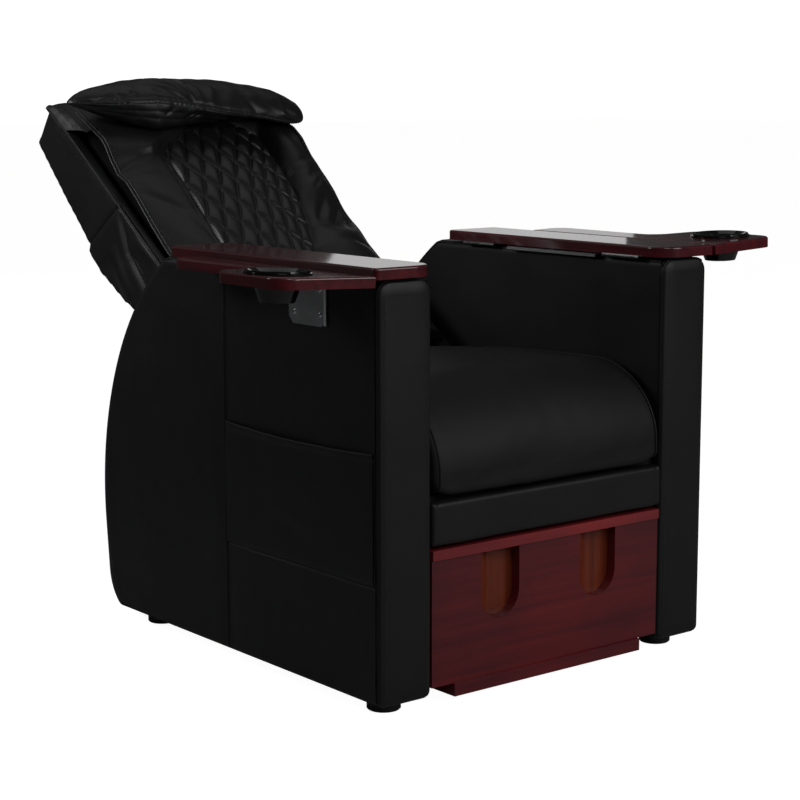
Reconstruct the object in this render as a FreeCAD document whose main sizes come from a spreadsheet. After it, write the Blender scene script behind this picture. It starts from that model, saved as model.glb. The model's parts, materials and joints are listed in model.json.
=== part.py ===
import FreeCAD, Part
import Sketcher
import math
import os

from FreeCAD import Placement, Rotation, Vector

# Pedicure spa chair, in millimetres.
# +Z is up, the chair faces -Y, and +X is the sitter's left.
# The origin is on the floor, in the middle of the chair's whole extent.
# "Right" and "left" are the sitter's. Depths are counted from the front plane of the arms.

SIZES = {
    # Where the front plane of the arms lies in the part's own frame
    "front_y": -659.6,
    # Arms
    "seat_half": 270.0,
    "arm_thick": 107.0,
    "arm_low": 23.0,
    "arm_top": 723.0,
    "arm_top_end": 642.0,
    "arm_knee_y": 827.0,
    "arm_knee_z": 512.0,
    "arm_rear_y": 886.0,
    "arm_rear_z": 187.0,
    "arm_heel_y": 877.0,
    "arm_heel_z": 90.0,
    "arm_toe_y": 838.0,
    "arm_top_bend": 529.5671,
    "arm_mid_bend": 614.5201,
    "arm_toe_bend": 92.0557,
    "arm_edge_round": 12.0,
    "cover_skin": 14.0,
    "core_low": 26.0,
    "frame_wide": 68.0,
    "facing_deep": 16.0,
    "facing_round_top": 24.0,
    "facing_round_low": 12.0,
    "facing_edge": 3.0,
    # Side pocket
    "pocket_low": 223.0,
    "pocket_top": 445.0,
    "pocket_end": 446.0,
    "pocket_open": 8.5,
    "pocket_skin": 2.5,
    "pocket_seam": 8.0,
    # Floor glides
    "glide_x": 323.5,
    "glide_front": 62.0,
    "glide_rear": 762.0,
    "glide_wide": 29.0,
    "glide_tall": 20.0,
    "glide_neck": 10.0,
    # Seat
    "rail_half": 268.0,
    "rail_low": 278.0,
    "rail_top": 347.0,
    "rail_deep": 55.0,
    "rail_round": 6.0,
    "deck_front": 24.0,
    "deck_end": 590.0,
    "deck_thick": 12.0,
    "cushion_half": 262.0,
    "cushion_low": 361.0,
    "cushion_end": 498.0,
    "cushion_nose": -1.0,
    "cushion_crown": 549.0,
    "cushion_side_drop": 27.0,
    "tie_y": 740.0,
    "tie_thick": 20.0,
    "tie_low": 40.0,
    "tie_top": 140.0,
    "shroud_y": 830.0,
    "shroud_thick": 4.0,
    "shroud_top": 330.0,
    # Footrest drawer
    "drawer_half": 266.0,
    "drawer_face": 5.0,
    "drawer_board": 19.0,
    "drawer_low": 36.0,
    "drawer_under_top": 253.5,
    "drawer_top": 270.5,
    "drawer_lip": 1.5,
    "drawer_end": 480.0,
    "side_inner": 238.0,
    "side_outer": 254.0,
    "slot_x": 115.0,
    "slot_half": 43.5,
    "slot_centre_z": 177.5,
    "grip_inset": 29.0,
    "grip_wide": 66.0,
    "grip_thick": 22.0,
    "grip_low": 100.0,
    "grip_top": 250.0,
    "plinth_half": 220.0,
    "plinth_low": 14.0,
    "plinth_end": 465.0,
    "runner_low": 142.0,
    "runner_tall": 48.0,
    "runner_wall": 3.0,
    "runner_gap": 1.0,
    "runner_start": 40.0,
    "runner_end": 495.0,
    # Lap boards on the arms
    "board_low": 727.0,
    "board_thick": 19.0,
    "board_inner": 262.0,
    "board_outer": 390.0,
    "board_front": -6.0,
    "board_end": 602.0,
    "board_round": 44.0,
    "board_small_round": 9.0,
    "board_edge": 4.0,
    "lap_axis_x": 257.5,
    "lap_axis_z": 725.0,
    "lap_knuckle": 3.5,
    "lap_pin": 1.5,
    "lap_leaf": 1.8,
    "lap_leaf_end": 306.0,
    "lap_hinge_long": 92.0,
    "lap_hinge_front": 55.0,
    "lap_hinge_rear": 448.0,
    "stop_start": 165.0,
    "stop_long": 244.0,
    "stop_tall": 5.5,
    # Side trays with the cup holders
    "tray_drop": 12.0,
    "tray_inner": 391.5,
    "tray_front": -7.0,
    "tray_end": 485.0,
    "tray_tail": 466.0,
    "tray_waist": 458.0,
    "tray_waist_y": 212.0,
    "tray_out": 568.0,
    "tray_front_out": 3.0,
    "tray_lobe_end": 190.0,
    "tray_lobe_round": 38.0,
    "tray_waist_round": 40.0,
    "tray_tail_round": 34.0,
    "cup_x": 511.0,
    "cup_y": 90.0,
    "cup_hole": 43.5,
    "cup_clear": 3.0,
    "cup_deep": 45.0,
    "cup_base": 28.5,
    "cup_rim": 55.0,
    "cup_rim_tall": 6.0,
    "cup_wall": 3.0,
    "tray_axis_x": 384.5,
    "tray_axis_drop": 5.0,
    "tray_tip": 2.0,
    "tray_knuckle": 4.0,
    "tray_pin": 2.0,
    "bracket_start": 141.0,
    "bracket_end": 245.0,
    "bracket_low": 638.0,
    "bracket_thick": 3.0,
    "bracket_chamfer": 12.0,
    "leaf_out": 452.0,
    "leaf_thick": 2.5,
    "leaf_room": 0.8,
    "leaf_inset": 5.0,
    "screw_head": 4.5,
    # Reclining back, in its own axes: s runs up the back and n stands out of its front
    "back_y": 575.0,
    "back_z": 500.0,
    "back_slope": 35.2,
    "side_x": 265.0,
    "side_board": 24.0,
    "gusset_deep": 6.0,
    "back_long": 848.0,
    "back_tray_half": 241.0,
    "hinge_n": -43.0,
    "pivot_pin": 10.0,
    "pivot_flange": 34.0,
    "pivot_gap": 0.05,
    "under_n": -146.0,
    "under_end": 354.0,
    "bump_start": 496.0,
    "bump_end": 562.0,
    "bump_heel": 568.0,
    "bump_tall": 17.0,
    "rear_skin": 8.0,
    "top_rear_n": -94.0,
    "gusset_start": 60.0,
    "gusset_top": 517.0,
    "lower_rail_s": 66.0,
    "panel_start": 20.0,
    "panel_n": -72.0,
    "panel_thick": 12.0,
    "pad_half": 236.0,
    "pad_low": -59.7,
    "pad_mid": 30.0,
    "pad_start": -8.0,
    "pad_end": 822.0,
    "quilt_thick": 13.0,
    "quilt_groove": 5.0,
    "quilt_mouth": 3.2,
    "quilt_step": 38.5,
    "quilt_slope": 63.0,
    "quilt_low_s": 52.0,
    "quilt_top_s": 692.0,
    "quilt_low_half": 84.0,
    "quilt_top_half": 146.0,
    "quilt_edge": 5.0,
    "quilt_gap": 0.4,
    "quilt_room": 60.0,
    "pillow_half": 282.0,
    "pillow_s": 768.0,
    "pillow_n": 78.0,
    "pillow_s_half": 62.0,
    "pillow_n_half": 36.0,
    # Gas strut under the back
    "strut_y": 700.0,
    "strut_z": 100.0,
    "strut_s": 225.0,
    "strut_n": -168.0,
    "strut_tube": 14.0,
    "strut_tube_start": 22.0,
    "strut_tube_long": 255.0,
    "strut_rod": 5.0,
    "strut_rod_start": 110.0,
    "strut_pin": 6.0,
    "strut_ear_gap": 17.0,
    "strut_ear": 4.0,
    "strut_play": 7.0,
}

SIDES = (("right", -1), ("left", 1))

doc = FreeCAD.newDocument("pedicure_chair")
sheet = doc.addObject("Spreadsheet::Sheet", "sizes")
for row, (name, size) in enumerate(SIZES.items(), start=1):
    cell = "A%d" % row
    sheet.set(cell, str(size))
    sheet.setAlias(cell, name)
doc.recompute()

kept = []


def value(text):
    """Work out a sum of products of sizes and numbers, such as "arm_top - 2*cover_skin"."""
    total = 0.0
    sign = 1.0
    for word in text.split():
        if word in ("+", "-"):
            sign = 1.0 if word == "+" else -1.0
            continue
        product = sign
        for factor in word.split("*"):
            product *= SIZES[factor] if factor in SIZES else float(factor)
        total += product
        sign = 1.0
    return total


def formula(text, flip=1):
    """The same sum as an expression on the sheet, mirrored when flip is -1."""
    words = []
    for word in text.split():
        factors = ["sizes." + part if part in SIZES else part for part in word.split("*")]
        words.append("*".join(factors))
    total = " ".join(words)
    return total if flip == 1 else "-1 * (" + total + ")"


def bind(item, target, text, flip=1):
    item.setExpression(target, formula(text, flip))


def place(item, x, depth, z, tilt=None):
    """Bind where an object stands: depth is counted from the arms' front plane."""
    angle = value(tilt) if tilt else 0.0
    item.Placement = Placement(Vector(0, 0, 0), Rotation(Vector(1, 0, 0), angle))
    bind(item, "Placement.Base.x", x)
    bind(item, "Placement.Base.y", "front_y + " + depth)
    bind(item, "Placement.Base.z", z)
    if tilt:
        bind(item, "Placement.Rotation.Angle", tilt)


def keep(item, name):
    item.Label = name
    kept.append(item)
    return item


def origin_plane(body, role):
    return [item for item in body.Origin.OriginFeatures if item.Role == role][0]


def arc_through(start, end, radius, turn):
    """The short arc between two points, its centre on the left of the way when turn is 1.

    It is always drawn anticlockwise, so with turn -1 it starts at the way's end.
    """
    chord = end - start
    half = chord.Length / 2
    reach = math.sqrt(max(radius * radius - half * half, 0.0))
    left = Vector(-chord.y, chord.x, 0).normalize() * turn
    middle = (start + end) * 0.5 - left * (radius - reach)
    return Part.Arc(start, middle, end) if turn == 1 else Part.Arc(end, middle, start)


def draw(sketch, corners, arcs, flip):
    """Draw a closed outline whose corners and radii are bound to the sheet."""
    points = [Vector(flip * value(a), value(b), 0) for a, b in corners]
    count = len(points)
    ends = []
    for index in range(count):
        start = points[index]
        end = points[(index + 1) % count]
        ahead = True
        if index in arcs:
            radius, turn = arcs[index]
            ahead = turn * flip == 1
            edge = arc_through(start, end, value(radius), turn * flip)
        else:
            edge = Part.LineSegment(start, end)
        sketch.addGeometry(edge, False)
        ends.append((1, 2) if ahead else (2, 1))
    for index in range(count):
        following = (index + 1) % count
        sketch.addConstraint(
            Sketcher.Constraint("Coincident", index, ends[index][1], following, ends[following][0])
        )
    for index in range(count):
        corner = (index, ends[index][0])
        number = sketch.addConstraint(Sketcher.Constraint("DistanceX", *corner, points[index].x))
        bind(sketch, "Constraints[%d]" % number, corners[index][0], flip)
        number = sketch.addConstraint(Sketcher.Constraint("DistanceY", *corner, points[index].y))
        bind(sketch, "Constraints[%d]" % number, corners[index][1])
        if index in arcs:
            radius = arcs[index][0]
            number = sketch.addConstraint(Sketcher.Constraint("Radius", index, value(radius)))
            bind(sketch, "Constraints[%d]" % number, radius)


def sketch_on(body, name, plane, corners, arcs, flip):
    sketch = body.newObject("Sketcher::SketchObject", name)
    sketch.AttachmentSupport = [(origin_plane(body, plane), "")]
    sketch.MapMode = "FlatFace"
    draw(sketch, corners, arcs, flip)
    return sketch


def plate(name, plane, corners, thick, at, flip=1, arcs=None, tilt=None):
    """A body padded from one outline, not yet kept, so that cuts and rounds can follow."""
    body = doc.addObject("PartDesign::Body", name)
    sketch = sketch_on(body, name + "_outline", plane, corners, arcs or {}, flip)
    pad = body.newObject("PartDesign::Pad", name + "_pad")
    pad.Profile = sketch
    bind(pad, "Length", thick)
    place(body, *at, tilt=tilt)
    doc.recompute()
    return body


def pocket(body, plane, corners, deep, reversed_way=False):
    """Cut an outline out of a body and check that it took something away."""
    before = body.Shape.Volume
    name = "%s_cut%d" % (body.Name, len(body.Group))
    sketch = sketch_on(body, name + "_outline", plane, corners, {}, 1)
    cut = body.newObject("PartDesign::Pocket", name)
    cut.Profile = sketch
    cut.Reversed = reversed_way
    bind(cut, "Length", deep)
    doc.recompute()
    if body.Shape.Volume >= before - 1.0:
        raise RuntimeError(name + " cuts nothing")
    return cut


def round_edges(body, radius, wanted, feature="Fillet"):
    """Round or chamfer the edges of a body that the test picks."""
    base = body.Tip
    names = []
    for number, edge in enumerate(base.Shape.Edges, start=1):
        if wanted(edge):
            names.append("Edge%d" % number)
    item = body.newObject("PartDesign::" + feature, "%s_%s%d" % (body.Name, feature, len(body.Group)))
    item.Base = (base, names)
    bind(item, "Radius" if feature == "Fillet" else "Size", radius)
    doc.recompute()
    return item


def block(name, x, depth, z, wide, deep, tall):
    """A plain board or bar, whose low corner is at x, depth and z."""
    item = doc.addObject("Part::Box", name)
    bind(item, "Length", wide)
    bind(item, "Width", deep)
    bind(item, "Height", tall)
    place(item, x, depth, z)
    return item


def round_bar(name, x, depth, z, radius, length):
    """A cylinder that lies along the chair's depth and ends at x, depth and z."""
    item = doc.addObject("Part::Cylinder", name)
    bind(item, "Radius", radius)
    bind(item, "Height", length)
    place(item, x, depth, z)
    item.Placement = Placement(item.Placement.Base, Rotation(Vector(1, 0, 0), 90.0))
    return item


def joined(name, items):
    union = doc.addObject("Part::MultiFuse", name)
    union.Shapes = items
    return union


def cut_away(name, base, tool):
    cut = doc.addObject("Part::Cut", name)
    cut.Base = base
    cut.Tool = tool
    return cut


def group_of(name, items):
    """Identical separate pieces that share one node."""
    group = doc.addObject("Part::Compound", name)
    group.Links = items
    return group


def formed(name, shape, in_back=False):
    """A piece whose form has no feature of its own; the shape is made in place at depth zero."""
    item = doc.addObject("Part::Feature", name)
    item.Shape = shape
    if in_back:
        place(item, "0", "back_y", "back_z", tilt="back_slope")
    else:
        place(item, "0", "0", "0")
    return item


def flat_at(edge, axis, level):
    """True for an edge that lies wholly at one level of an axis."""
    box = edge.BoundBox
    low, high = {"x": (box.XMin, box.XMax), "y": (box.YMin, box.YMax), "z": (box.ZMin, box.ZMax)}[axis]
    return abs(low - level) < 0.01 and abs(high - level) < 0.01


def stands_at(edge, x, y):
    """True for an upright edge over the given point of a plan."""
    return flat_at(edge, "x", x) and flat_at(edge, "y", y)


# Arms


def arm_outline(inset, low):
    """The arm's side seen across the chair: straight front and top, and a rear of tangent arcs."""
    corners = [
        ("facing_deep + " + inset, low),
        ("arm_toe_y - " + inset, low),
        ("arm_heel_y - " + inset, "arm_heel_z"),
        ("arm_rear_y - " + inset, "arm_rear_z"),
        ("arm_knee_y - " + inset, "arm_knee_z - " + inset),
        ("arm_top_end - " + inset, "arm_top - " + inset),
        ("facing_deep + " + inset, "arm_top - " + inset),
    ]
    arcs = {
        1: ("arm_toe_bend", 1),
        3: ("arm_mid_bend", 1),
        4: ("arm_top_bend", 1),
    }
    return corners, arcs


def side_start(side, inner, thick):
    """The low x of a plate that stands on one side of the chair."""
    return inner if side == 1 else "-1*%s - %s" % (inner, thick)


def make_arm(word, side):
    corners, arcs = arm_outline("0", "arm_low")
    cover = plate(
        "arm_cover_" + word,
        "YZ_Plane",
        corners,
        "arm_thick",
        (side_start(side, "seat_half", "arm_thick"), "0", "0"),
        arcs=arcs,
    )
    front = value("facing_deep")
    floor = value("arm_low")
    for face in (0.0, value("arm_thick")):
        round_edges(
            cover,
            "arm_edge_round",
            lambda edge: flat_at(edge, "x", face)
            and not flat_at(edge, "y", front)
            and not flat_at(edge, "z", floor),
        )
    corners, arcs = arm_outline("cover_skin", "arm_low - 1")
    inner = sketch_on(cover, "arm_cover_%s_room" % word, "YZ_Plane", corners, arcs, 1)
    inner.AttachmentOffset = Placement(Vector(0, 0, value("cover_skin")), Rotation())
    bind(inner, "AttachmentOffset.Base.z", "cover_skin")
    room = cover.newObject("PartDesign::Pocket", "arm_cover_%s_pocket" % word)
    room.Profile = inner
    room.Reversed = True
    bind(room, "Length", "arm_thick - 2*cover_skin")
    keep(cover, "arm_cover_" + word)

    corners, arcs = arm_outline("cover_skin", "core_low")
    start = "seat_half + cover_skin"
    core_thick = "arm_thick - 2*cover_skin"
    low_x = start if side == 1 else "-1*seat_half - arm_thick + cover_skin"
    frame = plate("arm_frame_" + word, "YZ_Plane", corners, core_thick, (low_x, "0", "0"), arcs=arcs)
    window = [
        ("facing_deep + frame_wide", "core_low + frame_wide"),
        ("arm_toe_y - frame_wide", "core_low + frame_wide"),
        ("arm_rear_y - frame_wide - 14", "arm_rear_z"),
        ("arm_knee_y - frame_wide - 8", "arm_knee_z - frame_wide"),
        ("arm_top_end - 24", "arm_top - frame_wide"),
        ("facing_deep + frame_wide", "arm_top - frame_wide"),
    ]
    pocket(frame, "YZ_Plane", window, core_thick, reversed_way=True)
    keep(frame, "arm_frame_" + word)


def make_facing(word, side):
    """The padded strip on the arm's front, with rounded corners."""
    inner = "seat_half"
    outer = "seat_half + arm_thick"
    corners = [
        (inner + " + facing_round_low", "arm_low"),
        (outer + " - facing_round_low", "arm_low"),
        (outer, "arm_low + facing_round_low"),
        (outer, "arm_top - facing_round_top"),
        (outer + " - facing_round_top", "arm_top"),
        (inner + " + facing_round_top", "arm_top"),
        (inner, "arm_top - facing_round_top"),
        (inner, "arm_low + facing_round_low"),
    ]
    arcs = {
        1: ("facing_round_low", 1),
        3: ("facing_round_top", 1),
        5: ("facing_round_top", 1),
        7: ("facing_round_low", 1),
    }
    body = plate(
        "arm_facing_" + word,
        "XZ_Plane",
        corners,
        "facing_deep",
        ("0", "facing_deep", "0"),
        flip=side,
        arcs=arcs,
    )
    front = -value("facing_deep")
    round_edges(body, "facing_edge", lambda edge: flat_at(edge, "y", front))
    keep(body, "arm_facing_" + word)


def make_pocket(word, side):
    """A pouch on the arm's outer side, sewn at its bottom and ends and open at the top."""
    wall = "seat_half + arm_thick"
    corners = [
        (wall, "pocket_low"),
        (wall + " + pocket_skin", "pocket_low"),
        (wall + " + pocket_open + pocket_skin", "pocket_top"),
        (wall, "pocket_top"),
    ]
    body = plate(
        "side_pocket_" + word,
        "XZ_Plane",
        corners,
        "pocket_end - facing_deep",
        ("0", "pocket_end", "0"),
        flip=side,
    )
    corners = [
        (wall + " - 1", "pocket_low + pocket_seam"),
        (wall, "pocket_low + pocket_seam"),
        (wall + " + pocket_open", "pocket_top"),
        (wall + " + pocket_open", "pocket_top + 1"),
        (wall + " - 1", "pocket_top + 1"),
    ]
    inside = sketch_on(body, "side_pocket_%s_room" % word, "XZ_Plane", corners, {}, side)
    bind(inside, "AttachmentOffset.Base.z", "pocket_skin")
    cut = body.newObject("PartDesign::Pocket", "side_pocket_%s_cut" % word)
    cut.Profile = inside
    cut.Reversed = True
    bind(cut, "Length", "pocket_end - facing_deep - 2*pocket_skin")
    keep(body, "side_pocket_" + word)


def revolved(name, corners, at):
    """A turned piece: corners are radius and height."""
    body = doc.addObject("PartDesign::Body", name)
    sketch = sketch_on(body, name + "_profile", "XZ_Plane", corners, {}, 1)
    turn = body.newObject("PartDesign::Revolution", name + "_turn")
    turn.Profile = sketch
    turn.ReferenceAxis = (sketch, ["V_Axis"])
    turn.Angle = 360.0
    place(body, *at)
    return body


def make_glides():
    """Four turned feet under the arms."""
    feet = []
    for word, side in SIDES:
        for end in ("front", "rear"):
            corners = [
                ("0", "0"),
                ("glide_wide - 2", "0"),
                ("glide_wide", "2"),
                ("glide_wide", "glide_tall - 4"),
                ("glide_wide - 4", "glide_tall"),
                ("glide_neck", "glide_tall"),
                ("glide_neck", "core_low"),
                ("0", "core_low"),
            ]
            at = ("%d*glide_x" % side, "glide_" + end, "0")
            feet.append(revolved("glide_%s_%s" % (end, word), corners, at))
    keep(group_of("floor_glides", feet), "floor_glides")


# Seat


def make_seat():
    rail = plate(
        "seat_front_rail",
        "XZ_Plane",
        [
            ("-1*rail_half", "rail_low"),
            ("rail_half", "rail_low"),
            ("rail_half", "rail_top"),
            ("-1*rail_half", "rail_top"),
        ],
        "rail_deep",
        ("0", "rail_deep", "0"),
    )
    front = -value("rail_deep")
    round_edges(rail, "rail_round", lambda edge: flat_at(edge, "y", front))
    keep(rail, "seat_front_rail")
    deck = block(
        "seat_deck",
        "-1*rail_half",
        "deck_front",
        "rail_top",
        "2*rail_half",
        "deck_end - deck_front",
        "deck_thick",
    )
    keep(deck, "seat_deck")
    keep(formed("seat_cushion", cushion_shape()), "seat_cushion")
    tie = block(
        "rear_stretcher",
        "-1*seat_half",
        "tie_y",
        "tie_low",
        "2*seat_half",
        "tie_thick",
        "tie_top - tie_low",
    )
    keep(tie, "rear_stretcher")
    shroud = block(
        "rear_shroud",
        "-1*seat_half",
        "shroud_y",
        "tie_low",
        "2*seat_half",
        "shroud_thick",
        "shroud_top - tie_low",
    )
    keep(shroud, "rear_shroud")


def cushion_section(x, crown, shrink):
    """One slice across the cushion: round nose, low crown and a soft rear edge."""
    low = value("cushion_low") + shrink * 0.5
    nose = value("cushion_nose") + shrink
    end = value("cushion_end") - shrink
    points = {
        "toe": Vector(x, nose + 12, low),
        "toe_bend": Vector(x, nose + 1.5, low + 18),
        "nose": Vector(x, nose, low + 52),
        "shoulder_bend": Vector(x, nose + 17, low + 0.6 * (crown - low)),
        "shoulder": Vector(x, nose + 112, crown - 7),
        "crown": Vector(x, 0.52 * end, crown),
        "rear_top": Vector(x, end - 58, crown - 12),
        "rear_bend": Vector(x, end - 12, crown - 44),
        "rear": Vector(x, end, crown - 92),
        "heel": Vector(x, end - 4, low),
    }
    shoulder_middle = Vector(x, nose + 34, crown - 46)
    edges = [
        Part.Arc(points["toe"], points["toe_bend"], points["nose"]).toShape(),
        Part.Arc(points["nose"], shoulder_middle, points["shoulder"]).toShape(),
        Part.Arc(points["shoulder"], points["crown"], points["rear_top"]).toShape(),
        Part.Arc(points["rear_top"], points["rear_bend"], points["rear"]).toShape(),
        Part.LineSegment(points["rear"], points["heel"]).toShape(),
        Part.LineSegment(points["heel"], points["toe"]).toShape(),
    ]
    return Part.Wire(edges)


def cushion_shape():
    """A boxed cushion, fullest in the middle and drawn in at both sides."""
    half = value("cushion_half")
    crown = value("cushion_crown")
    drop = value("cushion_side_drop")
    slices = [
        (-half, crown - drop, 7.0),
        (-half + 16, crown - drop * 0.62, 1.5),
        (-0.55 * half, crown - drop * 0.16, 0.0),
        (0.0, crown, 0.0),
        (0.55 * half, crown - drop * 0.16, 0.0),
        (half - 16, crown - drop * 0.62, 1.5),
        (half, crown - drop, 7.0),
    ]
    wires = [cushion_section(*entry) for entry in slices]
    return Part.makeLoft(wires, True, False)


# Footrest drawer


def make_drawer():
    corners = [("-1*drawer_half", "drawer_low"), ("drawer_half", "drawer_low")]
    corners.append(("drawer_half", "drawer_under_top"))
    arcs = {}
    for sign in ("", "-1*"):
        centre = sign + "slot_x"
        corners.append((centre + " + slot_half", "drawer_under_top"))
        corners.append((centre + " + slot_half", "slot_centre_z"))
        arcs[len(corners) - 1] = ("slot_half", -1)
        corners.append((centre, "slot_centre_z - slot_half"))
        arcs[len(corners) - 1] = ("slot_half", -1)
        corners.append((centre + " - slot_half", "slot_centre_z"))
        corners.append((centre + " - slot_half", "drawer_under_top"))
    corners.append(("-1*drawer_half", "drawer_under_top"))
    front = plate(
        "drawer_front",
        "XZ_Plane",
        corners,
        "drawer_board",
        ("0", "drawer_face + drawer_board", "0"),
        arcs=arcs,
    )
    keep(front, "drawer_front")
    top = block(
        "drawer_top",
        "-1*drawer_half",
        "drawer_lip",
        "drawer_under_top",
        "2*drawer_half",
        "drawer_end - drawer_lip",
        "drawer_top - drawer_under_top",
    )
    keep(top, "drawer_top")
    behind = "drawer_face + drawer_board"
    tall = "drawer_under_top - drawer_low"
    for word, side in SIDES:
        start = "side_inner" if side == 1 else "-1*side_outer"
        panel = block(
            "drawer_side_" + word,
            start,
            behind,
            "drawer_low",
            "side_outer - side_inner",
            "drawer_end - drawer_face - drawer_board - 10",
            tall,
        )
        keep(panel, "drawer_side_" + word)
    back = block(
        "drawer_back",
        "-1*side_inner",
        "drawer_end - 26",
        "drawer_low",
        "2*side_inner",
        "16",
        tall,
    )
    keep(back, "drawer_back")
    plinth = block(
        "drawer_plinth",
        "-1*plinth_half",
        "0",
        "plinth_low",
        "2*plinth_half",
        "plinth_end",
        "drawer_low - plinth_low",
    )
    keep(plinth, "drawer_plinth")
    blocks = []
    for word, side in SIDES:
        item = block(
            "grip_block_" + word,
            "%d*slot_x - slot_half + grip_inset" % side,
            behind,
            "grip_low",
            "grip_wide",
            "grip_thick",
            "grip_top - grip_low",
        )
        blocks.append(item)
    keep(group_of("drawer_grip_blocks", blocks), "drawer_grip_blocks")


def make_runners():
    """A channel on each arm and a bar on each side of the drawer that slides in it."""
    fixed = []
    moving = []
    long = "runner_end - runner_start"
    for word, side in SIDES:
        web_start = "seat_half - runner_wall" if side == 1 else "-1*seat_half"
        flange_start = "side_outer + 2" if side == 1 else "-1*seat_half"
        flange_wide = "seat_half - side_outer - 2"
        web = block(
            "runner_web_" + word,
            web_start,
            "runner_start",
            "runner_low",
            "runner_wall",
            long,
            "runner_tall",
        )
        under = block(
            "runner_under_" + word,
            flange_start,
            "runner_start",
            "runner_low",
            flange_wide,
            long,
            "runner_wall",
        )
        over = block(
            "runner_over_" + word,
            flange_start,
            "runner_start",
            "runner_low + runner_tall - runner_wall",
            flange_wide,
            long,
            "runner_wall",
        )
        fixed.append(joined("runner_channel_" + word, [web, under, over]))
        bar_wide = "seat_half - side_outer - runner_wall - runner_gap"
        bar_start = "side_outer" if side == 1 else "-1*seat_half + runner_wall + runner_gap"
        bar = block(
            "runner_bar_" + word,
            bar_start,
            "runner_start + 2",
            "runner_low + runner_wall + runner_gap",
            bar_wide,
            long + " - 40",
            "runner_tall - 2*runner_wall - 2*runner_gap",
        )
        moving.append(bar)
    keep(group_of("drawer_runner_channels", fixed), "drawer_runner_channels")
    keep(group_of("drawer_runner_bars", moving), "drawer_runner_bars")


# Lap boards, side trays and cup holders


def make_lap_board(word, side):
    """A board on top of the arm, hinged along its inner edge."""
    corners = [
        ("board_inner + board_round", "board_front"),
        ("board_outer - board_small_round", "board_front"),
        ("board_outer", "board_front + board_small_round"),
        ("board_outer", "board_end - board_small_round"),
        ("board_outer - board_small_round", "board_end"),
        ("board_inner + 2*board_small_round", "board_end"),
        ("board_inner", "board_end - 2*board_small_round"),
        ("board_inner", "board_front + board_round"),
    ]
    arcs = {
        1: ("board_small_round", 1),
        3: ("board_small_round", 1),
        5: ("2*board_small_round", 1),
        7: ("board_round", 1),
    }
    board = plate(
        "lap_board_" + word,
        "XY_Plane",
        corners,
        "board_thick",
        ("0", "0", "board_low"),
        flip=side,
        arcs=arcs,
    )
    top = value("board_thick")
    round_edges(board, "board_edge", lambda edge: flat_at(edge, "z", top))
    keep(board, "lap_board_" + word)


def hinge_bar(name, side, start, length, radius):
    """One knuckle or pin of a lap hinge, on the hinge's axis."""
    return round_bar(
        name,
        "%d*lap_axis_x" % side,
        start + " + " + length,
        "lap_axis_z",
        radius,
        length,
    )


def hinge_leaf(name, side, x_from, x_to, start, length, z_from):
    low = x_from if side == 1 else "-1*" + x_to
    return block(name, low, start, z_from, x_to + " - " + x_from, length, "lap_leaf")


def make_lap_hinges(word, side):
    """Two butt hinges: outer knuckles, pin and leaf on the arm, middle knuckle and leaf on the board."""
    fixed = []
    moving = []
    third = "18"
    long = "lap_hinge_long"
    for place_word in ("front", "rear"):
        tag = "%s_%s" % (place_word, word)
        start = "lap_hinge_" + place_word
        far_start = start + " + " + long + " - " + third
        under = "lap_axis_z - lap_leaf - 0.2"
        over = "lap_axis_z + 0.2"
        pieces = [
            hinge_leaf("leaf_low_" + tag, side, "board_inner", "lap_leaf_end", start, long, under),
            hinge_leaf("tab_low_a_" + tag, side, "lap_axis_x", "board_inner", start, third, under),
            hinge_leaf("tab_low_b_" + tag, side, "lap_axis_x", "board_inner", far_start, third, under),
            hinge_bar("knuckle_a_" + tag, side, start, third, "lap_knuckle"),
            hinge_bar("knuckle_b_" + tag, side, far_start, third, "lap_knuckle"),
            hinge_bar("hinge_pin_" + tag, side, start, long, "lap_pin"),
        ]
        fixed.append(joined("lap_hinge_low_" + tag, pieces))
        inner_start = start + " + 18.5"
        inner_long = "lap_hinge_long - 37"
        pieces = [
            hinge_leaf("leaf_up_" + tag, side, "board_inner", "lap_leaf_end", start, long, over),
            hinge_leaf("tab_up_" + tag, side, "lap_axis_x", "board_inner", inner_start, inner_long, over),
            hinge_bar("knuckle_c_" + tag, side, inner_start, inner_long, "lap_knuckle"),
        ]
        solid = joined("lap_hinge_up_solid_" + tag, pieces)
        bore = hinge_bar("hinge_bore_" + tag, side, start, long, "lap_pin + pivot_gap")
        moving.append(cut_away("lap_hinge_up_" + tag, solid, bore))
    keep(group_of("lap_hinge_fixed_" + word, fixed), "lap_hinge_fixed_" + word)
    keep(group_of("lap_hinge_moving_" + word, moving), "lap_hinge_moving_" + word)


def make_stop_strip(word, side):
    """A steel angle between the hinges that stops the turned board level."""
    lip_start = "board_inner - 8" if side == 1 else "-1*board_inner + 6"
    lip = block(
        "stop_lip_" + word,
        lip_start,
        "stop_start",
        "lap_axis_z - 0.2 - stop_tall",
        "2",
        "stop_long",
        "stop_tall",
    )
    flange_start = "board_inner - 8" if side == 1 else "-1*lap_leaf_end"
    flange = block(
        "stop_flange_" + word,
        flange_start,
        "stop_start",
        "lap_axis_z - lap_leaf - 0.2",
        "lap_leaf_end - board_inner + 8",
        "stop_long",
        "lap_leaf",
    )
    keep(joined("lap_stop_" + word, [lip, flange]), "lap_stop_" + word)


def tray_level(side):
    """Underside of a side tray at its inner edge: the right tray sits a little lower."""
    return "board_low" if side == 1 else "board_low - tray_drop"


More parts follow.
